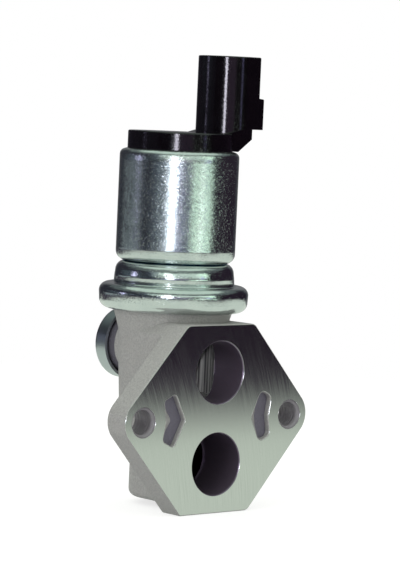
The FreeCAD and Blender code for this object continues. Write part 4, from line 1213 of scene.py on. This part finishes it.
@dataclass(frozen=True)
class Lamps:
    """Two lamps that light dull surfaces and show in no reflection."""

    fill_place_mm: tuple[float, float, float] = (-950.0, -150.0, 420.0)
    fill_target_mm: tuple[float, float, float] = (0.0, 0.0, 0.0)
    fill_size_mm: float = 600.0
    fill_watts: float = 2.0
    beam_place_mm: tuple[float, float, float] = (-540.0, -590.0, 120.0)
    beam_target_mm: tuple[float, float, float] = (-5.0, 0.0, 14.0)
    beam_degrees: float = 1.3
    beam_blend: float = 0.4
    beam_size_mm: float = 4.0
    beam_watts: float = 7.0

    def build(self) -> None:
        """Hangs both lamps."""
        self.build_fill()
        self.build_port_beam()

    def build_fill(self) -> None:
        """A large soft lamp high on the left, which shapes the dull surfaces."""
        lamp = bpy.data.lights.new("fill", "AREA")
        lamp.shape = "DISK"
        lamp.size = self.fill_size_mm * MM
        lamp.energy = self.fill_watts
        fill = self.hang(lamp, self.fill_place_mm, self.fill_target_mm)

    def build_port_beam(self) -> None:
        """A narrow beam into the upper port, which shows the chamber's wall in it."""
        lamp = bpy.data.lights.new("port_beam", "SPOT")
        lamp.energy = self.beam_watts
        lamp.spot_size = math.radians(self.beam_degrees)
        lamp.spot_blend = self.beam_blend
        lamp.shadow_soft_size = self.beam_size_mm * MM
        beam = self.hang(lamp, self.beam_place_mm, self.beam_target_mm)

    def hang(self, lamp: bpy.types.Light, place_mm: tuple[float, float, float],
             target_mm: tuple[float, float, float]) -> bpy.types.Object:
        """Hangs a lamp where nothing mirrors it.

        Args:
            lamp: The lamp.
            place_mm: Where it hangs, in millimetres.
            target_mm: What it points at.

        Returns:
            The lamp's object.
        """
        holder = bpy.data.objects.new(lamp.name, lamp)
        bpy.context.collection.objects.link(holder)
        place = Vector(place_mm) * MM
        holder.location = place
        holder.rotation_euler = (Vector(target_mm) * MM - place).to_track_quat("-Z", "Y").to_euler()
        holder.visible_camera = False
        holder.visible_glossy = False
        return holder


@dataclass(frozen=True)
class Camera:
    """The camera, where the photograph's perspective puts it."""

    place_mm: tuple[float, float, float] = (-527.43, -584.81, 93.97)
    right: tuple[float, float, float] = (0.74999, -0.65992, 0.04499)
    up: tuple[float, float, float] = (0.01187, 0.08143, 0.99661)
    lens_mm: float = 167.93
    sensor_mm: float = 36.0
    nearest: float = 0.01
    furthest: float = 100.0

    def build(self) -> None:
        """Places the camera, with its up square to its right."""
        camera = bpy.data.objects.new("camera", bpy.data.cameras.new("camera"))
        bpy.context.collection.objects.link(camera)
        right = Vector(self.right).normalized()
        up = (Vector(self.up) - right * right.dot(Vector(self.up))).normalized()
        turn = Matrix((right, up, right.cross(up))).transposed()
        camera.matrix_world = Matrix.Translation(Vector(self.place_mm) * MM) @ turn.to_4x4()
        camera.data.lens = self.lens_mm
        camera.data.sensor_width = self.sensor_mm
        camera.data.sensor_fit = "AUTO"
        camera.data.clip_start = self.nearest
        camera.data.clip_end = self.furthest
        bpy.context.scene.camera = camera


def main() -> None:
    """Dresses the valve, one sub-assembly after another, and sets up the studio."""
    logging.basicConfig(level=logging.INFO, format="%(name)s: %(message)s")
    bpy.context.scene.view_settings.view_transform = "Standard"
    for sub_assembly in (Casting(), RearCap(), MountingCup(), Solenoid(), Connector(), Plunger()):
        sub_assembly.dress()
    ReturnSpring().build()
    for fitting in (Floor(), Tent(), Lamps(), Camera()):
        fitting.build()


if __name__ == "__main__":
    main()
